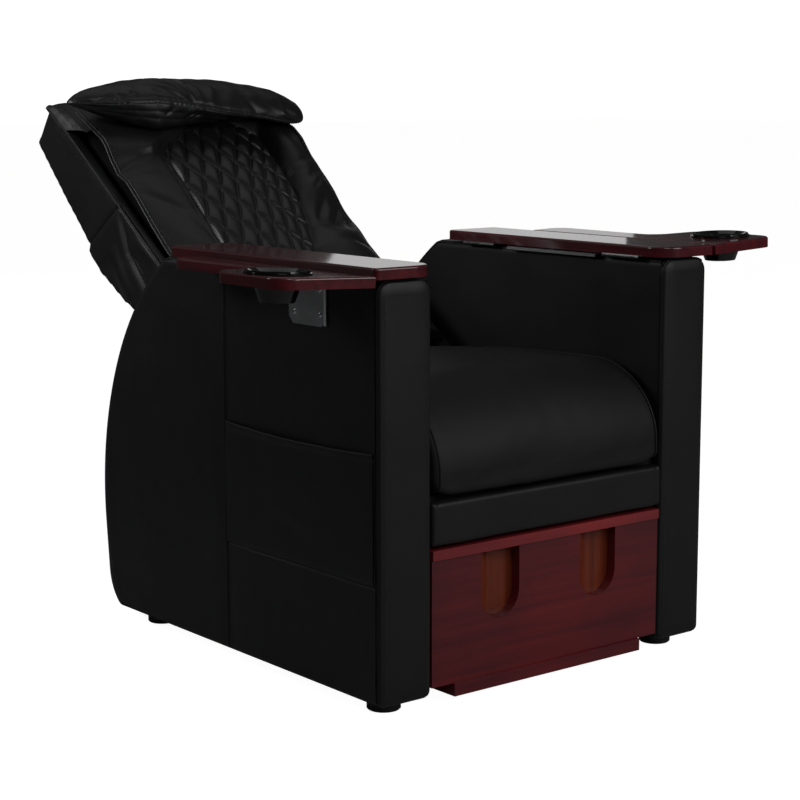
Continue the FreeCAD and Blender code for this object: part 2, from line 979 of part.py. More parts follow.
def tipped(name, item, side):
    """A piece of the side tray, turned so that the tray's outer edge stands a little high."""
    piece = group_of(name + "_in_place", [item])
    piece.Placement = Placement(Vector(0, 0, 0), Rotation(Vector(0, -side, 0), value("tray_tip")))
    level = "(" + formula(tray_level(side) + " - tray_axis_drop") + ")"
    turn = "(sizes.tray_tip * 1 deg)"
    across = "sizes.tray_axis_x * (1 - cos" + turn + ") + " + level + " * sin" + turn
    rise = level + " * (1 - cos" + turn + ") - sizes.tray_axis_x * sin" + turn
    piece.setExpression("Placement.Rotation.Angle", "sizes.tray_tip")
    piece.setExpression("Placement.Base.x", "%d * (%s)" % (side, across))
    piece.setExpression("Placement.Base.z", rise)
    return keep(piece, name)


def make_tray(word, side):
    """The side tray in plan: a narrow tail, a hollow curve and a wide lobe round the cup."""
    corners = [
        ("tray_inner", "tray_front"),
        ("tray_out", "tray_front_out"),
        ("tray_out", "tray_lobe_end"),
        ("tray_waist", "tray_waist_y"),
        ("tray_tail", "tray_end"),
        ("tray_inner", "tray_end"),
    ]
    tray = plate(
        "level_tray_" + word,
        "XY_Plane",
        corners,
        "board_thick",
        ("0", "0", tray_level(side)),
        flip=side,
    )
    rounds = [
        ("tray_lobe_round", 1),
        ("tray_lobe_round", 2),
        ("tray_waist_round", 3),
        ("tray_tail_round", 4),
    ]
    for radius, number in rounds:
        x = side * value(corners[number][0])
        y = value(corners[number][1])
        round_edges(tray, radius, lambda edge: stands_at(edge, x, y))
    hole = sketch_circle(tray, "cup_hole_" + word, side)
    cut = tray.newObject("PartDesign::Pocket", "level_tray_%s_cut" % word)
    cut.Profile = hole
    cut.Reversed = True
    bind(cut, "Length", "board_thick")
    doc.recompute()
    top = value("board_thick")
    radius = value("cup_hole")
    round_edges(
        tray,
        "board_edge",
        lambda edge: flat_at(edge, "z", top) and not is_circle(edge, radius),
    )
    tipped("side_tray_" + word, tray, side)


def is_circle(edge, radius):
    """True for a round edge of the given radius."""
    curve = edge.Curve
    return isinstance(curve, Part.Circle) and abs(curve.Radius - radius) < 0.01


def sketch_circle(body, name, side):
    sketch = body.newObject("Sketcher::SketchObject", name)
    sketch.AttachmentSupport = [(origin_plane(body, "XY_Plane"), "")]
    sketch.MapMode = "FlatFace"
    centre = Vector(side * value("cup_x"), value("cup_y"), 0)
    sketch.addGeometry(Part.Circle(centre, Vector(0, 0, 1), value("cup_hole")), False)
    number = sketch.addConstraint(Sketcher.Constraint("DistanceX", 0, 3, centre.x))
    bind(sketch, "Constraints[%d]" % number, "cup_x", side)
    number = sketch.addConstraint(Sketcher.Constraint("DistanceY", 0, 3, centre.y))
    bind(sketch, "Constraints[%d]" % number, "cup_y")
    number = sketch.addConstraint(Sketcher.Constraint("Radius", 0, value("cup_hole")))
    bind(sketch, "Constraints[%d]" % number, "cup_hole")
    return sketch


def make_cup(word, side):
    """A turned drop-in cup: tapered wall, raised rim and a flange that rests on the tray."""
    corners = [
        ("0", "-1*cup_deep"),
        ("cup_base", "-1*cup_deep"),
        ("cup_hole - cup_clear - 2.5", "-1*board_thick"),
        ("cup_hole - cup_clear", "0.2"),
        ("cup_rim", "0.2"),
        ("cup_rim", "2.6"),
        ("cup_rim - 2.6", "3.2"),
        ("cup_rim - 3", "cup_rim_tall"),
        ("cup_rim - 7", "cup_rim_tall"),
        ("cup_hole - cup_clear - cup_wall", "0.5"),
        ("cup_hole - cup_clear - 2.5 - cup_wall", "-1*board_thick"),
        ("cup_base - cup_wall", "cup_wall - cup_deep"),
        ("0", "cup_wall - cup_deep"),
    ]
    at = ("%d*cup_x" % side, "cup_y", tray_level(side) + " + board_thick")
    tipped("cup_" + word, revolved("level_cup_" + word, corners, at), side)


def make_bracket(word, side):
    """The chrome plate on the arm's outer side with the outer knuckles and the pin."""
    level = tray_level(side)
    wall = "seat_half + arm_thick"
    low_x = wall if side == 1 else "-1*seat_half - arm_thick - bracket_thick"
    corners = [
        ("bracket_start + bracket_chamfer", "bracket_low"),
        ("bracket_end - bracket_chamfer", "bracket_low"),
        ("bracket_end", "bracket_low + bracket_chamfer"),
        ("bracket_end", level + " - tray_axis_drop"),
        ("bracket_start", level + " - tray_axis_drop"),
        ("bracket_start", "bracket_low + bracket_chamfer"),
    ]
    wall_plate = plate(
        "bracket_plate_" + word,
        "YZ_Plane",
        corners,
        "bracket_thick",
        (low_x, "0", "0"),
    )
    shaft = {"knuckle_front": ("bracket_start", "34"), "knuckle_rear": ("bracket_end - 34", "34")}
    bars = [wall_plate]
    tab_low = wall if side == 1 else "-1*tray_axis_x"
    tab_wide = "tray_axis_x - seat_half - arm_thick"
    for bar_word, (start, length) in shaft.items():
        tag = "%s_%s" % (bar_word, word)
        bars.append(tray_bar(tag, side, start, length, "tray_knuckle"))
        tab_z = level + " - tray_axis_drop - bracket_thick"
        bars.append(block("tab_" + tag, tab_low, start, tab_z, tab_wide, length, "bracket_thick"))
    whole = "bracket_end - bracket_start"
    bars.append(tray_bar("tray_pin_" + word, side, "bracket_start", whole, "tray_pin"))
    keep(joined("tray_bracket_" + word, bars), "tray_bracket_" + word)

    leaf_low = "tray_axis_x" if side == 1 else "-1*leaf_out"
    flat_low = "tray_inner + leaf_inset" if side == 1 else "-1*leaf_out"
    under = level + " - leaf_thick"
    pieces = [
        block(
            "leaf_flat_" + word,
            flat_low,
            "bracket_start",
            under,
            "leaf_out - tray_inner - leaf_inset",
            "bracket_end - bracket_start",
            "leaf_thick",
        ),
        block(
            "leaf_tab_" + word,
            leaf_low,
            "bracket_start + 34.5",
            under,
            "leaf_out - tray_axis_x",
            "bracket_end - bracket_start - 69",
            "leaf_thick - leaf_room",
        ),
        tray_bar(
            "knuckle_middle_" + word,
            side,
            "bracket_start + 34.5",
            "bracket_end - bracket_start - 69",
            "tray_knuckle",
        ),
    ]
    solid = joined("tray_leaf_solid_" + word, pieces)
    bore = tray_bar(
        "tray_bore_" + word,
        side,
        "bracket_start",
        "bracket_end - bracket_start",
        "tray_pin + pivot_gap",
    )
    tipped("tray_leaf_" + word, cut_away("level_leaf_" + word, solid, bore), side)


def tray_bar(name, side, start, length, radius):
    """A knuckle or pin on the side tray's hinge axis."""
    return round_bar(
        name,
        "%d*tray_axis_x" % side,
        start + " + " + length,
        tray_level(side) + " - tray_axis_drop",
        radius,
        length,
    )


def make_screws():
    """Domed screw heads on both bracket plates."""
    heads = []
    for word, side in SIDES:
        wall = side * (value("seat_half + arm_thick + bracket_thick"))
        low = value("bracket_low") + 20
        high = value("bracket_low") + 62
        spots = [
            (value("bracket_start") + 16, low),
            (value("bracket_end") - 16, low),
            (value("bracket_start") + 16, high),
            (value("bracket_end") - 16, high),
        ]
        for depth, z in spots:
            head = Part.makeCylinder(
                value("screw_head"), 2.4, Vector(wall, depth, z), Vector(side, 0, 0)
            )
            outer = [edge for edge in head.Edges if edge.BoundBox.XLength < 0.01]
            rim = [edge for edge in outer if abs(edge.BoundBox.XMin - wall) > 1.0]
            heads.append(head.makeFillet(1.6, rim))
    keep(formed("bracket_screws", Part.makeCompound(heads)), "bracket_screws")


# Reclining back: everything here is laid out in the back's own axes and tilted once


def make_back_side(word, side):
    """A side board of the back: slim at the top, deeper at the waist, rounded at the pivot."""
    corners = [
        ("back_long - 6", "0"),
        ("0", "0"),
        ("-34", "-14"),
        ("-46", "hinge_n"),
        ("-30", "hinge_n - 46"),
        ("96", "under_n"),
        ("under_end", "under_n"),
        ("bump_start", "under_n - bump_tall"),
        ("bump_end", "under_n - 11"),
        ("bump_heel", "under_n + 7"),
        ("back_long + 5", "top_rear_n"),
        ("back_long", "-6"),
    ]
    low_x = "side_x - side_board" if side == 1 else "-1*side_x"
    board = plate(
        "back_side_" + word,
        "YZ_Plane",
        corners,
        "side_board",
        (low_x, "back_y", "back_z"),
        tilt="back_slope",
    )
    recess = [
        ("gusset_top", "0"),
        ("gusset_start", "0"),
        ("gusset_start", "under_n"),
        ("under_end", "under_n"),
        ("bump_start", "under_n - bump_tall"),
        ("bump_end", "under_n - 11"),
        ("bump_heel", "under_n + 7"),
    ]
    before = board.Shape.Volume
    outline = sketch_on(board, "gusset_recess_" + word, "YZ_Plane", recess, {}, 1)
    deep = board.newObject("PartDesign::Pocket", "gusset_pocket_" + word)
    deep.Profile = outline
    deep.Reversed = True
    if side == 1:
        bind(outline, "AttachmentOffset.Base.z", "side_board - gusset_deep")
    bind(deep, "Length", "gusset_deep")
    hole = board.newObject("Sketcher::SketchObject", "pivot_hole_" + word)
    hole.AttachmentSupport = [(origin_plane(board, "YZ_Plane"), "")]
    hole.MapMode = "FlatFace"
    radius = value("pivot_pin + pivot_gap")
    hole.addGeometry(Part.Circle(Vector(0, value("hinge_n"), 0), Vector(0, 0, 1), radius), False)
    hole.addConstraint(Sketcher.Constraint("PointOnObject", 0, 3, -2))
    number = hole.addConstraint(Sketcher.Constraint("DistanceY", 0, 3, value("hinge_n")))
    bind(hole, "Constraints[%d]" % number, "hinge_n")
    number = hole.addConstraint(Sketcher.Constraint("Radius", 0, radius))
    bind(hole, "Constraints[%d]" % number, "pivot_pin + pivot_gap")
    drilled = board.newObject("PartDesign::Pocket", "pivot_pocket_" + word)
    drilled.Profile = hole
    drilled.Reversed = True
    bind(drilled, "Length", "side_board")
    doc.recompute()
    if board.Shape.Volume >= before:
        raise RuntimeError("the recess and the pivot hole cut nothing")
    keep(board, "back_side_" + word)


def make_gusset(word, side):
    """Loose leather over the lower part of the back's side."""
    low_x = "side_x - gusset_deep + 0.2" if side == 1 else "-1*side_x"
    corners = [
        ("gusset_top - 2", "-2"),
        ("gusset_start + 2", "-2"),
        ("gusset_start + 2", "under_n + 2"),
        ("under_end", "under_n + 2"),
        ("bump_start", "under_n - bump_tall + 2"),
        ("bump_end - 2", "under_n - 9"),
        ("bump_heel - 3", "under_n + 9"),
    ]
    gusset = plate(
        "side_gusset_" + word,
        "YZ_Plane",
        corners,
        "gusset_deep - 0.2",
        (low_x, "back_y", "back_z"),
        tilt="back_slope",
    )
    keep(gusset, "side_gusset_" + word)


def make_back_frame():
    inner = "-1*back_tray_half"
    wide = "2*back_tray_half"
    at = (inner, "back_y", "back_z")
    top = plate(
        "back_top_rail",
        "YZ_Plane",
        [
            ("back_long - side_board", "0"),
            ("back_long - side_board", "top_rear_n + 6"),
            ("back_long", "top_rear_n + 6"),
            ("back_long", "0"),
        ],
        wide,
        at,
        tilt="back_slope",
    )
    keep(top, "back_top_rail")
    lower = plate(
        "back_lower_rail",
        "YZ_Plane",
        [
            ("lower_rail_s", "under_n + rear_skin"),
            ("lower_rail_s + side_board", "under_n + rear_skin"),
            ("lower_rail_s + side_board", "panel_n"),
            ("lower_rail_s", "panel_n"),
        ],
        wide,
        at,
        tilt="back_slope",
    )
    keep(lower, "back_lower_rail")
    support = plate(
        "back_support_panel",
        "YZ_Plane",
        [
            ("panel_start", "panel_n"),
            ("back_long - side_board", "panel_n"),
            ("back_long - side_board", "panel_n + panel_thick"),
            ("panel_start", "panel_n + panel_thick"),
        ],
        wide,
        at,
        tilt="back_slope",
    )
    keep(support, "back_support_panel")
    cover = plate(
        "back_rear_cover",
        "YZ_Plane",
        [
            ("gusset_start + 2", "under_n"),
            ("under_end", "under_n"),
            ("bump_start", "under_n - bump_tall"),
            ("bump_end", "under_n - 11"),
            ("bump_heel", "under_n + 7"),
            ("back_long", "top_rear_n - 3"),
            ("back_long", "top_rear_n + 6"),
            ("bump_heel + 4", "under_n + 16"),
            ("bump_end - 6", "under_n - 3"),
            ("bump_start", "under_n - bump_tall + rear_skin"),
            ("under_end", "under_n + rear_skin"),
            ("gusset_start + 2", "under_n + rear_skin"),
        ],
        wide,
        at,
        tilt="back_slope",
    )
    keep(cover, "back_rear_cover")


def pad_section(along, middle, bolster, half):
    """One slice across the pad: a flat middle between two crowned bolsters."""
    low = value("pad_low")
    shoulder = bolster - 16
    points = [
        Vector(-half, along, low),
        Vector(half, along, low),
        Vector(half, along, shoulder),
        Vector(half - 34, along, bolster),
        Vector(150, along, middle),
        Vector(-150, along, middle),
        Vector(34 - half, along, bolster),
        Vector(-half, along, shoulder),
    ]
    outer = Vector(half - 9, along, bolster - 5)
    inner = Vector((half - 34 + 150) / 2, along, (bolster + middle) / 2 + 3)
    edges = [
        Part.LineSegment(points[0], points[1]).toShape(),
        Part.LineSegment(points[1], points[2]).toShape(),
        Part.Arc(points[2], outer, points[3]).toShape(),
        Part.Arc(points[3], inner, points[4]).toShape(),
        Part.LineSegment(points[4], points[5]).toShape(),
        Part.Arc(points[5], Vector(-inner.x, inner.y, inner.z), points[6]).toShape(),
        Part.Arc(points[6], Vector(-outer.x, outer.y, outer.z), points[7]).toShape(),
        Part.LineSegment(points[7], points[0]).toShape(),
    ]
    return Part.Wire(edges)


def pad_shape():
    """The pad fills the tray of the back; its bolsters swell upwards and sink at the top."""
    half = value("pad_half")
    middle = value("pad_mid")
    slices = [
        (value("pad_start"), middle - 10, 24.0, half - 4),
        (value("pad_start") + 30, middle, 34.0, half),
        (200.0, middle, 30.0, half),
        (350.0, middle, 32.0, half),
        (500.0, middle, 42.0, half),
        (640.0, middle, 54.0, half),
        (700.0, middle, 50.0, half),
        (760.0, middle - 10, 20.0, half),
        (value("pad_end"), -22.0, -6.0, half - 2),
    ]
    wires = [pad_section(*entry) for entry in slices]
    floor = Part.Face(Part.makePolygon(quilt_outline(value("quilt_gap"), middle)))
    room = floor.extrude(Vector(0, 0, value("quilt_room")))
    return Part.makeLoft(wires, True, False).cut(room)


def quilt_outline(grow, level):
    """The panel's four corners in order and the first again, at one level, grown outwards by a little."""
    low_half = value("quilt_low_half") + grow
    top_half = value("quilt_top_half") + grow
    low_s = value("quilt_low_s") - grow
    top_s = value("quilt_top_s") + grow
    corners = [
        Vector(-low_half, low_s, level),
        Vector(low_half, low_s, level),
        Vector(top_half, top_s, level),
        Vector(-top_half, top_s, level),
    ]
    return corners + corners[:1]


def quilt_shape():
    """The quilted centre panel: a tapering slab crossed by two families of sewn channels."""
    low = value("pad_mid") + value("quilt_gap")
    top = low + value("quilt_thick")
    low_s = value("quilt_low_s")
    top_s = value("quilt_top_s")
    slab = Part.Face(Part.makePolygon(quilt_outline(0, low))).extrude(Vector(0, 0, top - low))
    rims = [edge for edge in slab.Edges if abs(edge.BoundBox.ZMin - top) < 0.01]
    slab = slab.makeFillet(value("quilt_edge"), rims)
    middle = Vector(0, (low_s + top_s) / 2, top)
    channels = []
    for lean in (1, -1):
        channels += sewn_channels(middle, lean, top_s - low_s)
    crossing = [channel for channel in channels if channel.common(slab).Volume > 1.0]
    return slab.cut(crossing)


def sewn_channels(middle, lean, reach):
    """Parallel V-shaped channels across the panel, all leaning the same way."""
    slope = math.radians(value("quilt_slope"))
    way = Vector(lean * math.cos(slope), math.sin(slope), 0)
    across = Vector(-way.y, way.x, 0)
    mouth = across * value("quilt_mouth")
    over = Vector(0, 0, 0.4)
    root = Vector(0, 0, -value("quilt_groove"))
    step = value("quilt_step")
    rows = int(reach / step) + 1
    channels = []
    for count in range(-rows, rows + 1):
        start = middle + across * (count * step) - way * reach
        notch = [start + mouth + over, start - mouth + over, start + root]
        face = Part.Face(Part.makePolygon(notch + notch[:1]))
        channels.append(face.extrude(way * 2 * reach))
    return channels


def pillow_section(x, s_half, n_half, drop):
    """One slice of the head pillow: a rounded oval, flatter beneath."""
    centre_s = value("pillow_s")
    centre_n = value("pillow_n") - drop
    up = Vector(x, centre_s + s_half, centre_n)
    down = Vector(x, centre_s - s_half, centre_n)
    top = Vector(x, centre_s, centre_n + n_half)
    base = Vector(x, centre_s, centre_n - n_half * 0.9)
    lean = 0.72
    bulge = 0.7
    upper_top = Vector(x, centre_s + s_half * lean, centre_n + n_half * bulge)
    lower_top = Vector(x, centre_s - s_half * lean, centre_n + n_half * bulge)
    upper_base = Vector(x, centre_s + s_half * lean, centre_n - n_half * bulge * 0.9)
    lower_base = Vector(x, centre_s - s_half * lean, centre_n - n_half * bulge * 0.9)
    edges = [
        Part.Arc(up, upper_top, top).toShape(),
        Part.Arc(top, lower_top, down).toShape(),
        Part.Arc(down, lower_base, base).toShape(),
        Part.Arc(base, upper_base, up).toShape(),
    ]
    return Part.Wire(edges)


def pillow_shape():
    """A wide bolster with full lobes, drawn in by the gather at its middle."""
    half = value("pillow_half")
    s_half = value("pillow_s_half")
    n_half = value("pillow_n_half")
    slices = [
        (-half, s_half * 0.42, n_half * 0.34, 10.0),
        (-half + 22, s_half * 0.82, n_half * 0.66, 7.0),
        (-0.62 * half, s_half, n_half * 0.95, 2.0),
        (-0.25 * half, s_half, n_half, 0.0),
        (0.0, s_half * 0.94, n_half * 0.94, 0.0),
        (0.25 * half, s_half, n_half, 0.0),
        (0.62 * half, s_half, n_half * 0.95, 2.0),
        (half - 22, s_half * 0.82, n_half * 0.66, 7.0),
        (half, s_half * 0.42, n_half * 0.34, 10.0),
    ]
    wires = [pillow_section(*entry) for entry in slices]
    return Part.makeLoft(wires, True, False)


def make_back_pads():
    keep(formed("back_pad", pad_shape(), in_back=True), "back_pad")
    keep(formed("quilted_panel", quilt_shape(), in_back=True), "quilted_panel")
    keep(formed("head_pillow", pillow_shape(), in_back=True), "head_pillow")


def back_point(along, out):
    """A point given in the back's own axes, as depth and height of the chair."""
    angle = math.radians(value("back_slope"))
    depth = value("back_y") + along * math.cos(angle) - out * math.sin(angle)
    height = value("back_z") + along * math.sin(angle) + out * math.cos(angle)
    return depth, height


def make_pivots():
    """A flanged pivot pin on the inner face of each arm carries the back."""
    depth, height = back_point(0.0, value("hinge_n"))
    pins = []
    for word, side in SIDES:
        wall = side * value("seat_half")
        inward = Vector(-side, 0, 0)
        flange = Part.makeCylinder(
            value("pivot_flange"), 3.5, Vector(wall, depth, height), inward
        )
        pin = Part.makeCylinder(value("pivot_pin"), 34.0, Vector(wall, depth, height), inward)
        pins.append(flange.fuse(pin).removeSplitter())
    keep(formed("recline_pivots", Part.makeCompound(pins)), "recline_pivots")


# Gas strut that holds the back at any angle


def strut_way():
    """Foot, direction and length of the strut at rest."""
    foot = Vector(0, value("strut_y"), value("strut_z"))
    depth, height = back_point(value("strut_s"), value("strut_n"))
    head = Vector(0, depth, height)
    return foot, (head - foot).normalize(), (head - foot).Length


def cross_pin(centre, radius, half):
    return Part.makeCylinder(radius, 2 * half, centre - Vector(half, 0, 0), Vector(1, 0, 0))


def make_strut():
    foot, way, length = strut_way()
    gap = value("strut_ear_gap")
    ear = value("strut_ear")
    pin = value("strut_pin")
    tube = value("strut_tube")
    tube_start = value("strut_tube_start")
    tube_end = tube_start + value("strut_tube_long")
    rod = value("strut_rod")
    rod_start = value("strut_rod_start")
    slack = value("pivot_gap")

    body = Part.makeCylinder(tube, tube_end - tube_start, foot + way * tube_start, way)
    neck = Part.makeCylinder(8.0, tube_start + 2, foot, way)
    eye = cross_pin(foot, 13.0, gap - 1.5)
    body = body.fuse([neck, eye])
    bore_start = rod_start - 6.0
    bore = Part.makeCylinder(rod + slack, tube_end - bore_start + 5, foot + way * bore_start, way)
    body = body.cut([bore, cross_pin(foot, pin + slack, gap)]).removeSplitter()
    keep(formed("strut_cylinder", body), "strut_cylinder")

    head = foot + way * length
    stem = Part.makeCylinder(rod, length - rod_start, foot + way * rod_start, way)
    boss = cross_pin(head, 11.0, gap - 3.0)
    bar = cross_pin(head, 5.0, gap + ear + 4.0)
    keep(formed("strut_rod", stem.fuse([boss, bar]).removeSplitter()), "strut_rod")

    tie_face = value("tie_y")
    ears = []
    for side in (-1, 1):
        low_x = gap if side == 1 else -gap - ear
        ears.append(Part.makeBox(ear, tie_face - foot.y + 12, 36, Vector(low_x, foot.y - 12, foot.z - 18)))
    base = Part.makeBox(2 * (gap + ear + 14), 4, 60, Vector(-gap - ear - 14, tie_face - 4, foot.z - 30))
    lower = ears[0].fuse([ears[1], base, cross_pin(foot, pin, gap + ear + 3)]).removeSplitter()
    keep(formed("strut_foot_bracket", lower), "strut_foot_bracket")

    along = value("strut_s")
    out = value("strut_n")
    face = value("under_n")
    plate_shape = Part.makeBox(90, 84, 3, Vector(-45, along - 42, face - 3))
    pieces = []
    for side in (-1, 1):
        low_x = gap if side == 1 else -gap - ear
        pieces.append(Part.makeBox(ear, 52, face - out + 17, Vector(low_x, along - 26, out - 17)))
    upper = plate_shape.fuse(pieces)
    hole = cross_pin(Vector(0, along, out), 5.0 + value("strut_play"), gap + ear + 1)
    keep(formed("strut_head_bracket", upper.cut(hole).removeSplitter(), in_back=True), "strut_head_bracket")


def main():
    for word, side in SIDES:
        make_arm(word, side)
        make_facing(word, side)
        make_pocket(word, side)
        make_lap_board(word, side)
        make_lap_hinges(word, side)
        make_stop_strip(word, side)
        make_tray(word, side)
        make_cup(word, side)
        make_bracket(word, side)
        make_back_side(word, side)
        make_gusset(word, side)
    make_glides()
    make_seat()
    make_drawer()
    make_runners()
    make_screws()
    make_back_frame()
    make_back_pads()
    make_pivots()
    make_strut()
    doc.recompute()
    for item in doc.Objects:
        if "Invalid" in item.State or "Error" in item.State:
            raise RuntimeError("%s failed: %s" % (item.Name, item.State))
    os.makedirs("parts", exist_ok=True)
    boxes = []
    faulty = []
    front = value("front_y")
    for item in kept:
        shape = item.Shape
        if shape.isNull() or not shape.isValid():
            faulty.append(item.Label)
            continue
        shape.exportStep(os.path.join("parts", item.Label + ".step"))
        box = shape.optimalBoundingBox(False, False)
        boxes.append(box)
        print(
            "%-24s %2d solids %9.1f cm3  x %6.1f %6.1f  y %6.1f %6.1f  z %6.1f %6.1f"
            % (
                item.Label,
                len(shape.Solids),
                shape.Volume / 1000,
                box.XMin,
                box.XMax,
                box.YMin - front,
                box.YMax - front,
                box.ZMin,
                box.ZMax,
            )
        )
    if faulty:
        raise RuntimeError("no valid shape: " + ", ".join(faulty))
    print("nodes", len(kept))
    print("x %.2f %.2f" % (min(box.XMin for box in boxes), max(box.XMax for box in boxes)))
    print("y %.2f %.2f" % (min(box.YMin for box in boxes), max(box.YMax for box in boxes)))
    print("z %.2f %.2f" % (min(box.ZMin for box in boxes), max(box.ZMax for box in boxes)))


main()
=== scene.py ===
import json
import math

import bmesh
import bpy
import numpy as np
from mathutils import Matrix, Vector

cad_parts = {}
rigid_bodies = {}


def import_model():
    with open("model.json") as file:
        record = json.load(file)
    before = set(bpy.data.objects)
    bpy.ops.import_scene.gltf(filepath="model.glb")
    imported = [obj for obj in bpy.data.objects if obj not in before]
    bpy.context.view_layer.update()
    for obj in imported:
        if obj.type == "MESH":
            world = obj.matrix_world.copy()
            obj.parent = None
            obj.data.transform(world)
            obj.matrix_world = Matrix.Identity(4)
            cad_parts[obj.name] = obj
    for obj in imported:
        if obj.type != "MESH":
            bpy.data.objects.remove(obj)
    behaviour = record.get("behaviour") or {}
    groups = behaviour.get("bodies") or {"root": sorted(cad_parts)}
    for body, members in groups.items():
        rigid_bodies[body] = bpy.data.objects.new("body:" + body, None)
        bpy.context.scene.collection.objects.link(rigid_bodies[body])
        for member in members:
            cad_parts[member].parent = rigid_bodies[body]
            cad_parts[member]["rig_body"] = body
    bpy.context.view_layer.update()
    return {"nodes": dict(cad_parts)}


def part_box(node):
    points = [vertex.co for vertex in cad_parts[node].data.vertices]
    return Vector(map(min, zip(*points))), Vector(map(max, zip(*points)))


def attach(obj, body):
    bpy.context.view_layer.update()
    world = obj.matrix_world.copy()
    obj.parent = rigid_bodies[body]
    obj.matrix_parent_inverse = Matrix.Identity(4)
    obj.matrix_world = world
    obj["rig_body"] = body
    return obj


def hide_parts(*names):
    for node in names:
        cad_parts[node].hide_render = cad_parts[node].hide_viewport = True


# The pedicure spa chair's looks, built around its packed construction.
# Shapes are worked out in millimetres in the construction's frame and become metres in Shell.piece.
# Depths are counted from the arms' front plane, as in the construction.

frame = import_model()
nodes = frame["nodes"]

MM = 1000.0
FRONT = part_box("arm_facing_right")[0].y * MM
SEAT_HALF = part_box("arm_cover_left")[0].x * MM
ARM_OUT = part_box("arm_cover_left")[1].x * MM
ARM_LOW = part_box("arm_facing_left")[0].z * MM
ARM_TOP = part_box("arm_facing_left")[1].z * MM
FACING_DEEP = 16.0
SIDES = (("right", -1), ("left", 1))


# Numbers, curves and noise


def ease(t):
    t = np.clip(t, 0.0, 1.0)
    return t * t * (3 - 2 * t)


def unit(rows):
    """The same vectors with a length of one."""
    return rows / np.maximum(np.linalg.norm(rows, axis=-1, keepdims=True), 1e-9)


def waves(a, b, length, seed, count=9):
    """Smooth uneven ground between about -1 and 1, made of seeded waves of about one length."""
    random = np.random.RandomState(seed)
    total = np.zeros(np.broadcast(a, b).shape)
    for _ in range(count):
        turn = random.uniform(0, 2 * math.pi)
        size = length * random.uniform(0.65, 1.6)
        phase = random.uniform(0, 2 * math.pi)
        total = total + np.sin((a * math.cos(turn) + b * math.sin(turn)) * 2 * math.pi / size + phase)
    return total / count ** 0.5 / 1.3


def crease(a, b, start, end, wide, deep, swell=0.6):
    """A fold line between two points of a surface: a sharp valley with a soft ridge on its left."""
    start, end = np.array(start, float), np.array(end, float)
    way = end - start
    long = np.linalg.norm(way)
    way /= long
    along = ((a - start[0]) * way[0] + (b - start[1]) * way[1]) / long
    off = -(a - start[0]) * way[1] + (b - start[1]) * way[0]
    fade = np.sin(np.clip(along, 0, 1) * math.pi) ** 0.6
    valley = np.exp(-((off / wide) ** 2))
    ridge = np.exp(-(((off - 2.4 * wide) / (1.8 * wide)) ** 2))
    return fade * deep * (swell * ridge - valley)


def add_creases(total, a, b, lines):
    """Add fold lines, each given by its start, end, width and depth, to a surface's height."""
    for start, end, wide, deep in lines:
        total = total + crease(a, b, start, end, wide, deep)
    return total


def resample(path, step, closed=False):
    """The same line with points about one step apart."""
    path = np.asarray(path, float)
    if closed:
        path = np.vstack([path, path[:1]])
    gaps = np.linalg.norm(np.diff(path, axis=0), axis=1)
    travelled = np.concatenate([[0.0], np.cumsum(gaps)])
    count = max(int(round(travelled[-1] / step)), 2)
    marks = np.linspace(0, travelled[-1], count + 1)
    if closed:
        marks = marks[:-1]
    return np.stack([np.interp(marks, travelled, path[:, k]) for k in range(3)], 1)


def finer(grid):
    """Twice as many rows, on a smooth curve through the old ones."""
    padded = np.concatenate([2 * grid[:1] - grid[1:2], grid, 2 * grid[-1:] - grid[-2:-1]])
    middle = (9 * (padded[1:-2] + padded[2:-1]) - padded[:-3] - padded[3:]) / 16
    made = np.empty((2 * len(grid) - 1,) + grid.shape[1:])
    made[0::2] = grid
    made[1::2] = middle
    return made


def outward_normals(grid):
    """Unit normals of a grid whose rows are closed rings, pointing away from each ring's middle."""
    down = np.gradient(grid, axis=0)
    across = (np.roll(grid, -1, 1) - np.roll(grid, 1, 1)) / 2
    normal = unit(np.cross(across, down))
    middle = grid.mean(1, keepdims=True)
    return normal * np.sign(((grid - middle) * normal).sum(-1, keepdims=True))


# Meshes

WELD_GAP = 0.01
# A stitch's rings: places along it, shares of its radius, and heights counted in radii
STITCH_RINGS = ((-0.5, 0.25, -0.9), (-0.3, 0.85, 0.0), (0.3, 0.85, 0.0), (0.5, 0.25, -0.9))
STITCH_SIDES = 6
STITCH_WIDE = 1.15


def new_object(name, data):
    """A new object in the scene."""
    item = bpy.data.objects.new(name, data)
    bpy.context.scene.collection.objects.link(item)
    return item


